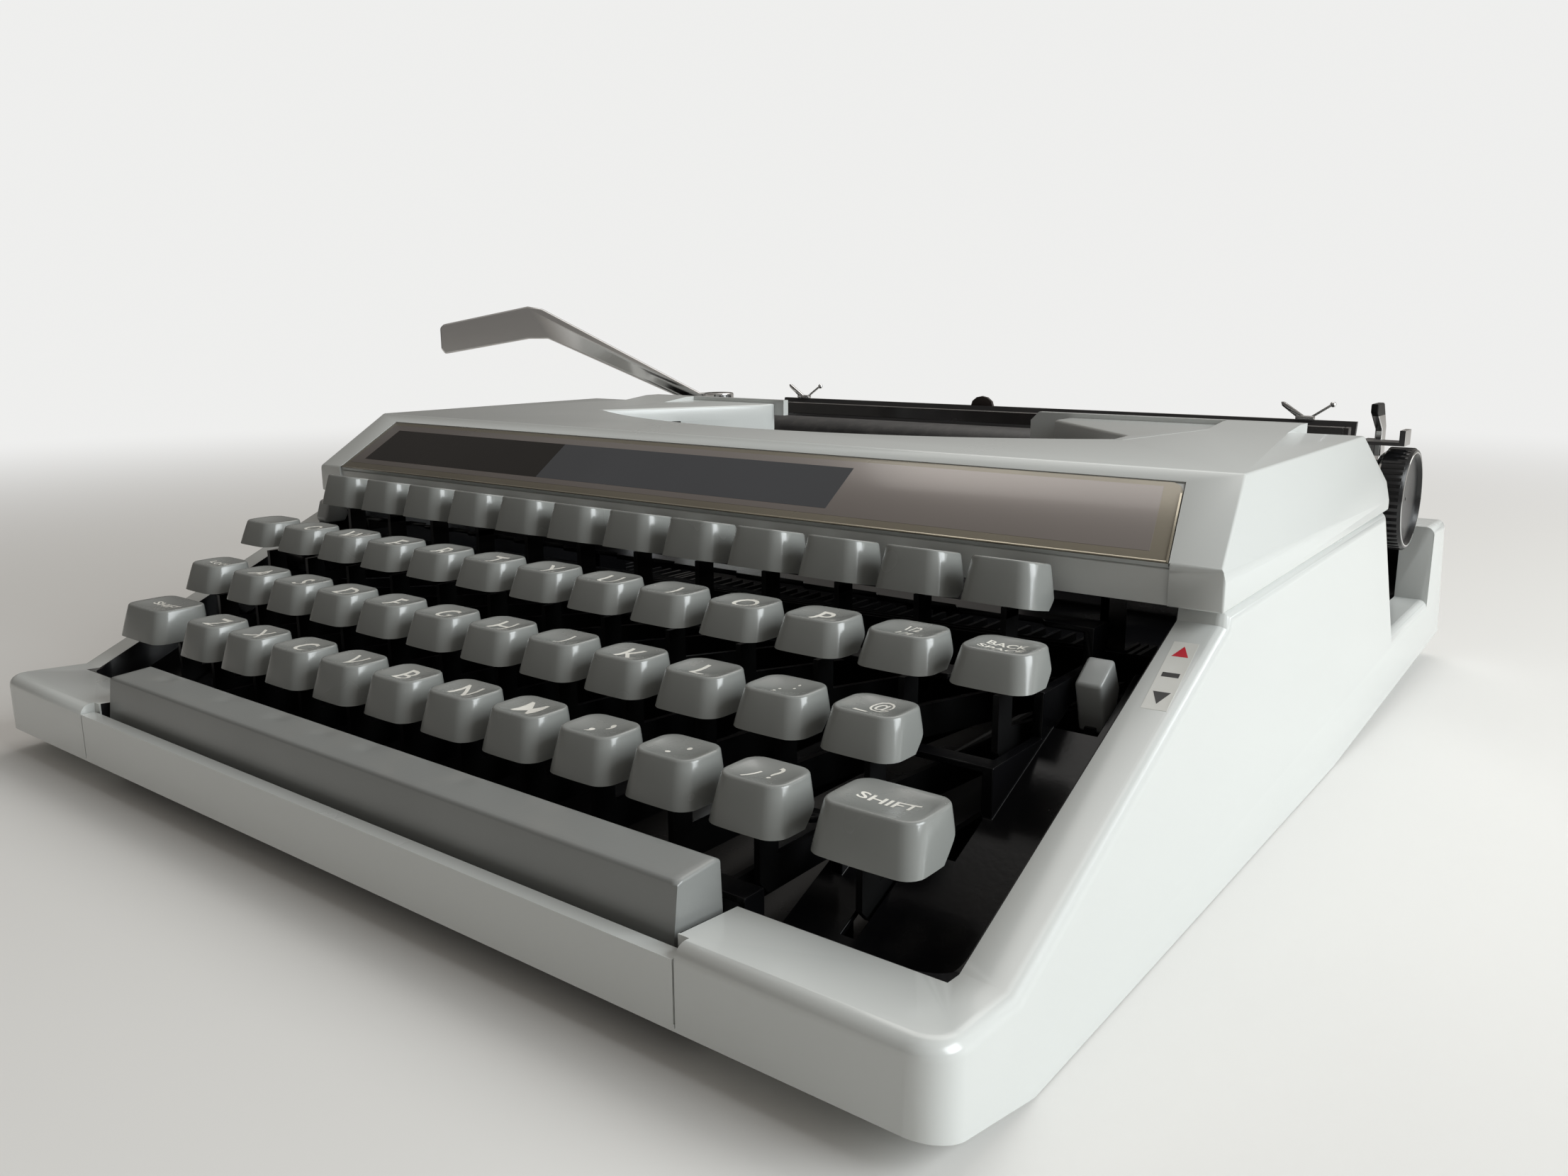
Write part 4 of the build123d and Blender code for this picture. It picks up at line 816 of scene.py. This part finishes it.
# Worn dents along the bar's rear edge: place and depth, the line they lie on, and their spread
DENTS = [(-75.4, 0.45), (-49.3, 0.35), (-29.1, 0.4), (-12.5, 0.3), (2.3, 0.4), (31.0, 0.2)]
DENT_LINE_Y, DENT_SPREAD_X, DENT_SPREAD_Y = -147.4, 2.2, 1.6


class TYPEWRITER_OT_space_bar(bpy.types.Operator):
    """Make the space bar on its two levers"""

    bl_idname = "typewriter.space_bar"
    bl_label = "Space Bar"

    def execute(self, context):
        bm = outline_solid(BAR_END, 0, -BAR_HALF_LENGTH, 2 * BAR_HALF_LENGTH)
        rounded = [edge for edge in bm.edges if not BAR_END_EDGE <= edge.calc_length() <= BAR_LONG_EDGE]
        bevel_edges(bm, rounded, BAR_ROUNDING, 3)
        along_bar = [edge for edge in bm.edges if edge.calc_length() > BAR_LONG_EDGE]
        bmesh.ops.subdivide_edges(bm, edges=along_bar, cuts=140, use_grid_fill=True)
        across_top = [edge for edge in bm.edges if abs(edge.verts[0].co.y - edge.verts[1].co.y) > 6.0
                      and min(vert.co.z for vert in edge.verts) > BAR_TOP_Z]
        bmesh.ops.subdivide_edges(bm, edges=across_top, cuts=7, use_grid_fill=True)
        for vert in bm.verts:
            if vert.co.z > BAR_TOP_Z and vert.co.y > DENTS_BEHIND_Y:
                near = math.exp(-((vert.co.y - DENT_LINE_Y) / DENT_SPREAD_Y) ** 2)
                vert.co.z -= near * sum(depth * math.exp(-((vert.co.x - x) / DENT_SPREAD_X) ** 2)
                                        for x, depth in DENTS)
        whole = bmesh.new()
        add_to(whole, bm)
        add_to(whole, lever_shape("key_space_bar"), 1)
        make_piece("space_bar", whole, ["bar_plastic", "black_paint"], "key_space_bar",
                   "key_space_bar")
        return {"FINISHED"}


# Body, cover and trim

# The cover's rounded edges, in metres: its ends lie past a place, and its crest lines above a height
COVER_ROUNDING, SHORTEST_ROUNDED = 0.0013, 0.003
COVER_END_X, COVER_END_STEP = 0.1272, 0.0008
CREST_Z, CREST_LINES, CREST_REACH = 0.0788, (-0.0447, 0.048), 0.0004
# The lids that narrow the type mouth: height of their underside and thickness, and their outer side as (x, y)
LID_Z, LID_THICKNESS, LID_ROUNDING = 74.4, 4.53, 0.7
LID_SIDE = [(86.4, 4.6), (89.3, 4.6), (97.0, 48.4), (97.0, 60.3)]
LID_REAR_Y = LID_SIDE[-1][1]
# Name, side, corner at the mouth's rear and any more points of each lid's inner side
LIDS = [("left", -1, (59.0, 53.5), []), ("right", 1, (50.4, 50.5), [(85.4, 16.5)])]
# Only edges of a lid above this height and nearer the middle than this are rounded
LID_ROUNDED_Z, LID_ROUNDED_X = 78.0, 88.0
# The wall below a lid: where it starts, its underside, its height and its thickness at three places
WALL_START_Y, WALL_Z, WALL_HEIGHT = 28.0, 63.5, 10.9
WALL_REAR, WALL_BEND, WALL_FRONT = 1.4, 0.6, 1.0


class TYPEWRITER_OT_base_shell(bpy.types.Operator):
    """Make the body shell, with black painted shade inside its well and the space bar's room"""

    bl_idname = "typewriter.base_shell"
    bl_label = "Body Shell"

    def execute(self, context):
        make_cad_piece("body_shell", merged_node("base_shell"), ["shell_plastic"], "base_shell", 0.5,
                       "body")
        return {"FINISHED"}


def on_cover_rim(edge):
    """Tell if an edge of the cover is at one of its two ends or along a crest line."""
    places = [vert.co for vert in edge.verts]
    at_end = all(abs(place.x) > COVER_END_X for place in places) \
        and any(abs(place.x) > COVER_END_X + COVER_END_STEP for place in places)
    on_crest = any(all(abs(place.y - y) < CREST_REACH and place.z > CREST_Z for place in places)
                   for y in CREST_LINES)
    return edge.is_convex and edge.calc_length() > SHORTEST_ROUNDED and (at_end or on_crest)


def mouth_lid(side, corner, inner):
    """Return a bmesh of one lid of the type mouth with the diagonal wall below it."""
    corner_x, corner_y = corner
    points = LID_SIDE + [(corner_x, LID_REAR_Y), corner] + inner
    lid = outline_solid([(side * x, y) for x, y in points], 2, LID_Z, LID_THICKNESS)
    rounded = [edge for edge in lid.edges
               if all(vert.co.z > LID_ROUNDED_Z and abs(vert.co.x) < LID_ROUNDED_X for vert in edge.verts)
               and not all(vert.co.y > LID_REAR_Y - 0.3 for vert in edge.verts)]
    bevel_edges(lid, rounded, LID_ROUNDING, 3)
    head_x, head_y = (inner or LID_SIDE)[0]
    start_x = head_x + (corner_x - head_x) * (WALL_START_Y - head_y) / (corner_y - head_y)
    wall = [(start_x, WALL_START_Y), corner, (corner_x, LID_REAR_Y), (corner_x + WALL_REAR, LID_REAR_Y),
            (corner_x + WALL_REAR, corner_y + WALL_BEND), (start_x + WALL_FRONT, WALL_START_Y + WALL_FRONT)]
    whole = bmesh.new()
    add_to(whole, lid)
    add_to(whole, outline_solid([(side * x, y) for x, y in wall], 2, WALL_Z, WALL_HEIGHT))
    return whole


class TYPEWRITER_OT_ribbon_cover(bpy.types.Operator):
    """Make the lift-off ribbon cover and the lids of its mouth"""

    bl_idname = "typewriter.ribbon_cover"
    bl_label = "Ribbon Cover"

    def execute(self, context):
        bm = merged_node("ribbon_cover")
        bevel_edges(bm, [edge for edge in sharp_edges(bm, 15.0) if on_cover_rim(edge)], COVER_ROUNDING, 3)
        make_cad_piece("cover_shell", bm, ["cover_plastic"], "ribbon_cover", 0.4)
        for name, side, corner, inner in LIDS:
            lid = mouth_lid(side, corner, inner)
            make_piece("mouth_lid_" + name, lid, ["lid_plastic"], "ribbon_cover")
        return {"FINISHED"}


# The trim panel lies on the cover's slope: its middle, and the direction in which the slope climbs
PANEL_MIDDLE, PANEL_CLIMB = (0, -55.1, 71.65), (0, 20.8, 14.5)
# Its lower and upper edge on the slope, and half its width at each
PANEL_LOW, PANEL_HIGH, PANEL_FOOT, PANEL_HEAD = -12.4, 9.0, 127.0, 123.0
# The cut corner at the upper right: how far down and in it goes, and the middle of the cut
CORNER_DROP, CORNER_INSET, CORNER_MIDDLE = 2.4, 2.0, (0.5, 0.8)
# Widths of the painted highlight, a lighter metal strip on the border's right and lower edges where light
# catches them
HIGHLIGHT_SIDE, HIGHLIGHT_FOOT, HIGHLIGHT_END, HIGHLIGHT_TOP_GAP = 0.45, 0.4, 0.2, 3.0
# Borders of the field: below, above, on the left and on the right
FIELD_BELOW, FIELD_ABOVE, FIELD_LEFT, FIELD_RIGHT = 2.5, 1.4, 1.6, 3.8
# The dark block and the stripe: lower and upper edge, the block's border, their joint, the stripe's end
STRIPE_LOW, STRIPE_HIGH, BLOCK_BORDER, STRIPE_JOIN, STRIPE_END = -8.0, 5.4, 6.5, -44.0, 49.5


def panel_side(v):
    """Return half the panel's width at a height on the slope."""
    return PANEL_FOOT - (PANEL_FOOT - PANEL_HEAD) * (v - PANEL_LOW) / (PANEL_HIGH - PANEL_LOW)


def band(low_v, high_v, left, right):
    """Return the outline between two heights on the slope and two sides that depend on the height."""
    return [(left(low_v), low_v), (right(low_v), low_v), (right(high_v), high_v), (left(high_v), high_v)]


class TYPEWRITER_OT_cover_trim(bpy.types.Operator):
    """Make the trim panel: field, metal border with a painted highlight on its right and lower edges, dark
    block and slate stripe
    """

    bl_idname = "typewriter.cover_trim"
    bl_label = "Cover Trim"

    def execute(self, context):
        slope = tilted_matrix(PANEL_MIDDLE, PANEL_CLIMB)
        cut_v, highlight_v = PANEL_HIGH - CORNER_DROP, PANEL_HIGH - HIGHLIGHT_TOP_GAP
        field_low, field_high = PANEL_LOW + FIELD_BELOW, PANEL_HIGH - FIELD_ABOVE
        border = [(-PANEL_FOOT, PANEL_LOW), (PANEL_FOOT, PANEL_LOW), (panel_side(cut_v), cut_v),
                  (PANEL_HEAD - CORNER_MIDDLE[0], PANEL_HIGH - CORNER_MIDDLE[1]),
                  (PANEL_HEAD - CORNER_INSET, PANEL_HIGH), (-PANEL_HEAD, PANEL_HIGH)]
        # The side and foot bands are the painted highlight along the border's lit edges
        side_highlight = band(highlight_v, PANEL_LOW, lambda v: panel_side(v) - HIGHLIGHT_SIDE, panel_side)
        highlight_top, highlight_end = PANEL_LOW + HIGHLIGHT_FOOT, PANEL_FOOT - HIGHLIGHT_END
        foot_highlight = [(-PANEL_FOOT, PANEL_LOW), (PANEL_FOOT, PANEL_LOW), (highlight_end, highlight_top),
                    (-highlight_end, highlight_top)]
        field = band(field_low, field_high, lambda v: FIELD_LEFT - panel_side(v),
                     lambda v: panel_side(v) - FIELD_RIGHT)
        block = band(STRIPE_LOW, STRIPE_HIGH, lambda v: BLOCK_BORDER - panel_side(v), lambda v: STRIPE_JOIN)
        stripe = band(STRIPE_LOW, STRIPE_HIGH, lambda v: STRIPE_JOIN, lambda v: STRIPE_END)
        # The strip of lighter metal on the border's right and lower edges is a painted highlight
        layers = [("panel_border", [border], -0.33, -0.10, 0.06, "border_metal"),
                  ("panel_rim", [side_highlight, foot_highlight], -0.12, 0.06, 0.05, "rim_metal"),
                  ("panel_field", [field], -0.14, -0.06, 0.02, "panel_field"),
                  ("panel_block", [block], -0.10, -0.02, 0.0, "panel_block"),
                  ("panel_stripe", [stripe], -0.10, -0.03, 0.0, "panel_stripe")]
        for name, outlines, low, high, rounding, material in layers:
            bm = bmesh.new()
            for outline in outlines:
                add_to(bm, thin_plate(outline, low, high, slope, rounding))
            make_piece(name, bm, [material], "ribbon_cover")
        return {"FINISHED"}


# The sticker's middle and turn in degrees, and the slope of the arm from its front end
STICKER_X, STICKER_Y, STICKER_TURN = 132.6, -76.1, 2.8
ARM_FRONT_Y, ARM_FRONT_Z, ARM_SLOPE = -140.0, 18.6, 35.0 / 78.0
# How far the sticker's plates reach into the arm
STICKER_SUNK = 0.02


class TYPEWRITER_OT_sticker(bpy.types.Operator):
    """Put the white sticker with a red and a black triangle on the right arm"""

    bl_idname = "typewriter.sticker"
    bl_label = "Sticker"

    def execute(self, context):
        middle = (STICKER_X, STICKER_Y, ARM_FRONT_Z + ARM_SLOPE * (STICKER_Y - ARM_FRONT_Y))
        place = tilted_matrix(middle, (0, 1, ARM_SLOPE)) @ Matrix.Rotation(math.radians(STICKER_TURN), 4, "Z")
        marks = [("sticker", [(-2.2, -9.4), (2.2, -9.4), (2.2, 9.4), (-2.2, 9.4)], 0.03, "sticker_paper"),
                 ("sticker_up", [(-1.45, 5.2), (1.45, 5.2), (0.0, 8.2)], 0.05, "sticker_red"),
                 ("sticker_bar", [(-1.5, -0.6), (1.5, -0.6), (1.5, 0.6), (-1.5, 0.6)], 0.05, "sticker_black"),
                 ("sticker_down", [(0.0, -7.9), (1.5, -4.7), (-1.5, -4.7)], 0.05, "sticker_black")]
        for name, points, top, material in marks:
            make_piece(name, thin_plate(points, -STICKER_SUNK, top, place), [material], "body")
        return {"FINISHED"}


# Well, basket and carriage


class TYPEWRITER_OT_inner_frame(bpy.types.Operator):
    """Finish the black plates of the well and the type basket, whose CAD node stays in view"""

    bl_idname = "typewriter.inner_frame"
    bl_label = "Inner Frame"

    def execute(self, context):
        make_cad_piece("well_plates", merged_node("chassis_frame"), ["black_sheet"], "chassis_frame",
                       0.25, "body")
        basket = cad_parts["type_basket"].data
        basket.materials.clear()
        basket.materials.append(finish("type_steel"))
        return {"FINISHED"}


# Profiles of the platen's parts as (place along X, radius); those of the knobs are for one side
ROLLER = [(-115.5, 4.0), (-115.5, 13.8), (-114.8, 14.5), (114.8, 14.5), (115.5, 13.8), (115.5, 4.0)]
SHAFT = [(-131.4, 0.0), (-131.4, 4.0), (131.4, 4.0), (131.4, 0.0)]
KNOB = [(125.0, 0.5), (125.0, 12.6), (125.6, 13.2), (126.6, 13.2), (127.0, 14.7), (133.2, 14.7),
        (133.9, 14.2), (133.9, 13.2), (132.9, 12.6), (132.6, 10.0), (132.2, 5.0), (132.2, 0.5)]
INNER_RING = [(126.2, 12.9), (126.2, 13.7), (126.9, 13.7), (126.9, 12.9), (126.2, 12.9)]
OUTER_RING = [(133.4, 13.3), (133.4, 13.8), (134.0, 13.7), (134.0, 13.3), (133.4, 13.3)]
# The knobs' grip: its middle, its reach to each side, the least radius of its faces, and its ribs
GRIP_X, GRIP_REACH, GRIP_RADIUS, RIB_INSET, RIB_HEIGHT = 130.1, 1.0, 14.0, 0.10, 0.13


def ribbed_knob(side):
    """Return a bmesh of one knob with ribs round its grip."""
    knob = turned_shape(KNOB, 96, side)
    grips = []
    for face in knob.faces:
        x, y, z = face.calc_center_median()
        y, z = y - PLATEN_Y, z - PLATEN_Z
        if abs(abs(x) - GRIP_X) < GRIP_REACH and math.hypot(y, z) > GRIP_RADIUS:
            grips.append((math.atan2(z, y), face))
    grips.sort(key=lambda grip: grip[0])
    bmesh.ops.inset_individual(knob, faces=[face for angle, face in grips[::2]], thickness=RIB_INSET,
                               depth=RIB_HEIGHT)
    return knob


class TYPEWRITER_OT_platen(bpy.types.Operator):
    """Make the rubber platen with its ribbed knobs"""

    bl_idname = "typewriter.platen"
    bl_label = "Platen"

    def execute(self, context):
        rubber_index, knob_index, chrome_index = range(3)
        whole = bmesh.new()
        add_to(whole, turned_shape(ROLLER, 72), rubber_index)
        add_to(whole, turned_shape(SHAFT, 32), chrome_index)
        for side in (-1, 1):
            add_to(whole, ribbed_knob(side), knob_index)
            for ring in (INNER_RING, OUTER_RING):
                add_to(whole, turned_shape(ring, 72, side), chrome_index)
        make_piece("platen_roller", whole, ["platen_rubber", "knob_plastic", "chrome"], "platen",
                   "platen")
        return {"FINISHED"}


# What stands behind and above this place of the CAD carriage is left out, in metres
FORKS_Y, FORKS_Z = 0.1355, 0.0757
# The chrome tab at the carriage's right end: its near lower left corner and its rear, in metres
TAB_CORNER, TAB_REAR_Y = Vector((0.1208, 0.101, 0.0713)), 0.1125
# The chrome paper stops: their middles, and from there the outlines (x, z) of the long and the short prong
STOP_MIDDLES = (-102.0, 96.6)
LONG_PRONG = [(-1.2, 75.4), (-0.2, 76.4), (-7.0, 80.9), (-8.0, 80.9), (-7.6, 79.6), (-2.6, 75.9)]
SHORT_PRONG = [(0.4, 75.9), (1.0, 75.4), (7.6, 80.0), (7.2, 80.7)]
STOP_LOW, STOP_HIGH = (-3.0, 135.4, 75.3), (2.6, 137.5, 76.7)
BALL_PLACE, BALL_RADIUS = (7.8, 136.8, 80.5), 0.95
# The rounded lug on the rear edge of the paper table
LUG = [(-24.0, 75.2), (-23.4, 77.2), (-21.6, 78.6), (-19.3, 79.1), (-17.0, 78.6), (-15.2, 77.2),
       (-14.6, 75.2)]


def paper_stop(middle):
    """Return a bmesh of one paper stop: two prongs on a foot, the short one with a ball at its end."""
    stop = outline_solid(LONG_PRONG, 1, 136.3, 1.1)
    add_to(stop, outline_solid(SHORT_PRONG, 1, 136.4, 0.8))
    add_to(stop, corner_box(STOP_LOW, STOP_HIGH))
    bevel_edges(stop, sharp_edges(stop), 0.2, 2)
    ball = bmesh.new()
    bmesh.ops.create_uvsphere(ball, u_segments=16, v_segments=10, radius=BALL_RADIUS)
    bmesh.ops.translate(ball, vec=BALL_PLACE, verts=ball.verts)
    add_to(stop, ball)
    bmesh.ops.translate(stop, vec=(middle, 0, 0), verts=stop.verts)
    return stop


class TYPEWRITER_OT_carriage(bpy.types.Operator):
    """Finish the carriage and put its chrome stops on it"""

    bl_idname = "typewriter.carriage"
    bl_label = "Carriage"

    def execute(self, context):
        bm = merged_node("carriage")
        raised = [vert for vert in bm.verts if vert.co.y > FORKS_Y and vert.co.z > FORKS_Z]
        bmesh.ops.delete(bm, geom=raised, context="VERTS")
        bmesh.ops.holes_fill(bm, edges=[edge for edge in bm.edges if edge.is_boundary], sides=0)
        bmesh.ops.recalc_face_normals(bm, faces=bm.faces)
        for face in bm.faces:
            in_tab = all(vert.co.y < TAB_REAR_Y and all(a > b for a, b in zip(vert.co, TAB_CORNER))
                         for vert in face.verts)
            face.material_index = int(in_tab)
        make_cad_piece("carriage_frame", bm, ["carriage_paint", "chrome"], "carriage", 0.3)
        for number, middle in enumerate(STOP_MIDDLES, 1):
            make_piece("paper_stop_%d" % number, paper_stop(middle), ["chrome"], "carriage")
        lug = outline_solid(LUG, 1, 136.1, 1.4)
        bevel_edges(lug, sharp_edges(lug, 50.0), 0.3, 2)
        make_piece("paper_lug", lug, ["lug_plastic"], "carriage")
        return {"FINISHED"}


class TYPEWRITER_OT_paper_bail(bpy.types.Operator):
    """Finish the paper bail"""

    bl_idname = "typewriter.paper_bail"
    bl_label = "Paper Bail"

    def execute(self, context):
        make_cad_piece("bail_bar", merged_node("paper_bail"), ["bail_paint"], "paper_bail", 0.5)
        return {"FINISHED"}


# Above this height the release lever has a black tip
TIP_Z = 79.4
# Each side lever: node, height of its bare arm, left side and width of its cap, and the cap's outline (y, z)
SIDE_LEVERS = [
    ("colour_selector", 35.0, 115.9, 5.2,
     [(-72.2, 47.3), (-78.0, 43.4), (-76.4, 38.2), (-75.2, 33.6), (-70.2, 36.2), (-69.0, 41.2)]),
    ("left_lever", 50.0, -124.8, 4.8,
     [(-69.2, 57.3), (-74.8, 55.6), (-76.4, 50.6), (-75.6, 49.2), (-69.6, 49.2), (-68.4, 51.0)]),
]


class TYPEWRITER_OT_levers(bpy.types.Operator):
    """Make the return lever, the release lever and the two side levers"""

    bl_idname = "typewriter.levers"
    bl_label = "Levers"

    def execute(self, context):
        make_cad_piece("return_blade", merged_node("return_lever"), ["chrome"], "return_lever", 0.6)
        bm = merged_node("paper_release_lever")
        bmesh.ops.bisect_plane(bm, geom=everything(bm), plane_co=(0, 0, TIP_Z * MM), plane_no=(0, 0, 1))
        for face in bm.faces:
            face.material_index = int(face.calc_center_median().z > TIP_Z * MM)
        make_cad_piece("release_blade", bm, ["chrome", "black_paint"], "paper_release_lever", 0.4)
        for name, arm_top, left_x, width, outline in SIDE_LEVERS:
            arm = merged_node(name)
            cut_off(arm, (0, 0, arm_top * MM), (0, 0, 1))
            bmesh.ops.scale(arm, vec=(1 / MM, 1 / MM, 1 / MM), verts=arm.verts)
            cap = outline_solid(outline, 0, left_x, width)
            bevel_edges(cap, sharp_edges(cap, 20.0), 0.7, 3)
            whole = bmesh.new()
            add_to(whole, cap)
            add_to(whole, arm, 1)
            make_piece(name + "_cap", whole, ["grey_cap", "black_paint"], name, name)
        return {"FINISHED"}


# Stage

# Colours, then places in metres
BACKDROP, SKY = (0.86, 0.86, 0.85, 1), (0.97, 0.92, 0.86, 1)
LIGHT_TARGET = (0, 0, 0.05)
FLOOR_SIZE, FLOOR_DROP = 4.0, 0.0003
# The camera sees the floor from the near distance on pass into the backdrop, which it reaches at the far one
FADE_NEAR, FADE_FAR = 0.30, 1.1
# The brightest side of the light from all round, the cosines where it starts and ends, and its shares there
SKY_SIDE, SKY_COSINES, SKY_SHARES = (0.5, 0.25, 0.83), (-0.5, 0.9), (0.35, 1.6)
CAMERA_PLACE, CAMERA_TURN, SENSOR_WIDTH = (0.202261, -0.276502, 0.106967), (77.6540, 0.2075, 37.3276), 36.0


def add_light(name, place, size, power, colour):
    """Add a soft area light that looks at the object."""
    light = bpy.data.lights.new(name, "AREA")
    light.shape = "RECTANGLE"
    light.size, light.size_y = size
    light.energy = power
    light.color = colour
    lamp = show(name, light)
    lamp.location = place
    lamp.rotation_euler = (Vector(LIGHT_TARGET) - Vector(place)).to_track_quat("-Z", "Y").to_euler()


def mix_shaders(tree, share, first, second, target):
    """Mix two shaders into a target socket."""
    choice = tree.nodes.new("ShaderNodeMixShader")
    for socket, source in zip(choice.inputs, (share, first, second)):
        tree.links.new(source, socket)
    tree.links.new(choice.outputs[0], target)


def camera_ray(tree):
    """Return the output that tells the camera's own rays from others."""
    return tree.nodes.new("ShaderNodeLightPath").outputs["Is Camera Ray"]


def fade_floor(material):
    """Let the floor pass into the backdrop's colour away from the object, for the camera alone."""
    tree = material.node_tree
    coordinates = tree.nodes.new("ShaderNodeTexCoord")
    reach = tree.nodes.new("ShaderNodeVectorMath")
    reach.operation = "LENGTH"
    tree.links.new(coordinates.outputs["Object"], reach.inputs[0])
    away = range_node(tree, reach.outputs["Value"], FADE_NEAR, FADE_FAR)
    glow = tree.nodes.new("ShaderNodeEmission")
    glow.inputs["Color"].default_value = BACKDROP
    mix_shaders(tree, math_node(tree, "MULTIPLY", away, camera_ray(tree)),
                tree.nodes["Principled BSDF"].outputs[0], glow.outputs[0],
                tree.nodes["Material Output"].inputs["Surface"])


def add_floor():
    """Add the floor under the object."""
    bm = bmesh.new()
    bmesh.ops.create_grid(bm, x_segments=1, y_segments=1, size=FLOOR_SIZE)
    bmesh.ops.translate(bm, vec=(0, 0, -FLOOR_DROP), verts=bm.verts)
    mesh = bpy.data.meshes.new("floor")
    bm.to_mesh(mesh)
    bm.free()
    paint = finish("floor_paint")
    fade_floor(paint)
    mesh.materials.append(paint)
    show("floor", mesh)


def add_world(scene, ambient):
    """Add the light from all round, brighter on one side, and the plain backdrop that the camera sees."""
    world = bpy.data.worlds.new("studio")
    scene.world = world
    world.use_nodes = True
    tree = world.node_tree
    sky = tree.nodes["Background"]
    sky.inputs["Color"].default_value = SKY
    coordinates = tree.nodes.new("ShaderNodeTexCoord")
    facing = tree.nodes.new("ShaderNodeVectorMath")
    facing.operation = "DOT_PRODUCT"
    facing.inputs[1].default_value = Vector(SKY_SIDE).normalized()
    tree.links.new(coordinates.outputs["Generated"], facing.inputs[0])
    strengths = [share * ambient for share in SKY_SHARES]
    tree.links.new(range_node(tree, facing.outputs["Value"], *SKY_COSINES, *strengths),
                   sky.inputs["Strength"])
    backdrop = tree.nodes.new("ShaderNodeBackground")
    backdrop.inputs["Color"].default_value = BACKDROP
    mix_shaders(tree, camera_ray(tree), sky.outputs[0], backdrop.outputs[0],
                tree.nodes["World Output"].inputs["Surface"])


def add_camera(scene, lens):
    """Add the camera where the photograph was taken from."""
    data = bpy.data.cameras.new("camera")
    data.lens = lens
    data.sensor_width = SENSOR_WIDTH
    data.clip_start = 0.01
    camera = show("camera", data)
    camera.location = CAMERA_PLACE
    camera.rotation_euler = Euler([math.radians(angle) for angle in CAMERA_TURN])
    scene.camera = camera


class TYPEWRITER_OT_stage(bpy.types.Operator):
    """Make the floor, the lights, the world and the camera"""

    bl_idname = "typewriter.stage"
    bl_label = "Stage"

    def execute(self, context):
        scene = context.scene
        settings = scene.typewriter_stage
        add_floor()
        add_light("side_light", (0.95, 0.10, 0.50), (0.7, 0.6), settings.side_power, (0.93, 0.98, 1.0))
        add_light("top_light", (-0.1, 0.65, 1.1), (1.0, 0.8), settings.top_power, (1.0, 0.98, 0.95))
        add_world(scene, settings.ambient)
        scene.view_settings.view_transform = "Standard"
        add_camera(scene, settings.lens)
        return {"FINISHED"}


STEPS = (
    TYPEWRITER_OT_stage,
    TYPEWRITER_OT_base_shell,
    TYPEWRITER_OT_inner_frame,
    TYPEWRITER_OT_ribbon_cover,
    TYPEWRITER_OT_cover_trim,
    TYPEWRITER_OT_sticker,
    TYPEWRITER_OT_keys,
    TYPEWRITER_OT_legends,
    TYPEWRITER_OT_space_bar,
    TYPEWRITER_OT_platen,
    TYPEWRITER_OT_carriage,
    TYPEWRITER_OT_paper_bail,
    TYPEWRITER_OT_levers,
)


class TYPEWRITER_PT_panel(bpy.types.Panel):
    """Lists the steps that build the typewriter"""

    bl_idname = "TYPEWRITER_PT_panel"
    bl_label = "Typewriter"
    bl_space_type = "VIEW_3D"
    bl_region_type = "UI"
    bl_category = "Typewriter"

    def draw(self, context):
        for step in STEPS:
            self.layout.operator(step.bl_idname)


GROUPS = {"typewriter_keys": KeySizes, "typewriter_colours": FinishColours, "typewriter_stage": StageSettings}


def register():
    """Register the property groups, the operators and the panel."""
    for group in GROUPS.values():
        bpy.utils.register_class(group)
    for name, group in GROUPS.items():
        setattr(bpy.types.Scene, name, PointerProperty(type=group))
    for step in (*STEPS, TYPEWRITER_PT_panel):
        bpy.utils.register_class(step)


def unregister():
    """Take everything that was registered out again."""
    for step in reversed((*STEPS, TYPEWRITER_PT_panel)):
        bpy.utils.unregister_class(step)
    for name, group in reversed(list(GROUPS.items())):
        delattr(bpy.types.Scene, name)
        bpy.utils.unregister_class(group)


def main():
    """Register the add-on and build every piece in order."""
    register()
    for step in STEPS:
        category, name = step.bl_idname.split(".")
        getattr(getattr(bpy.ops, category), name)()


if __name__ == "__main__":
    main()
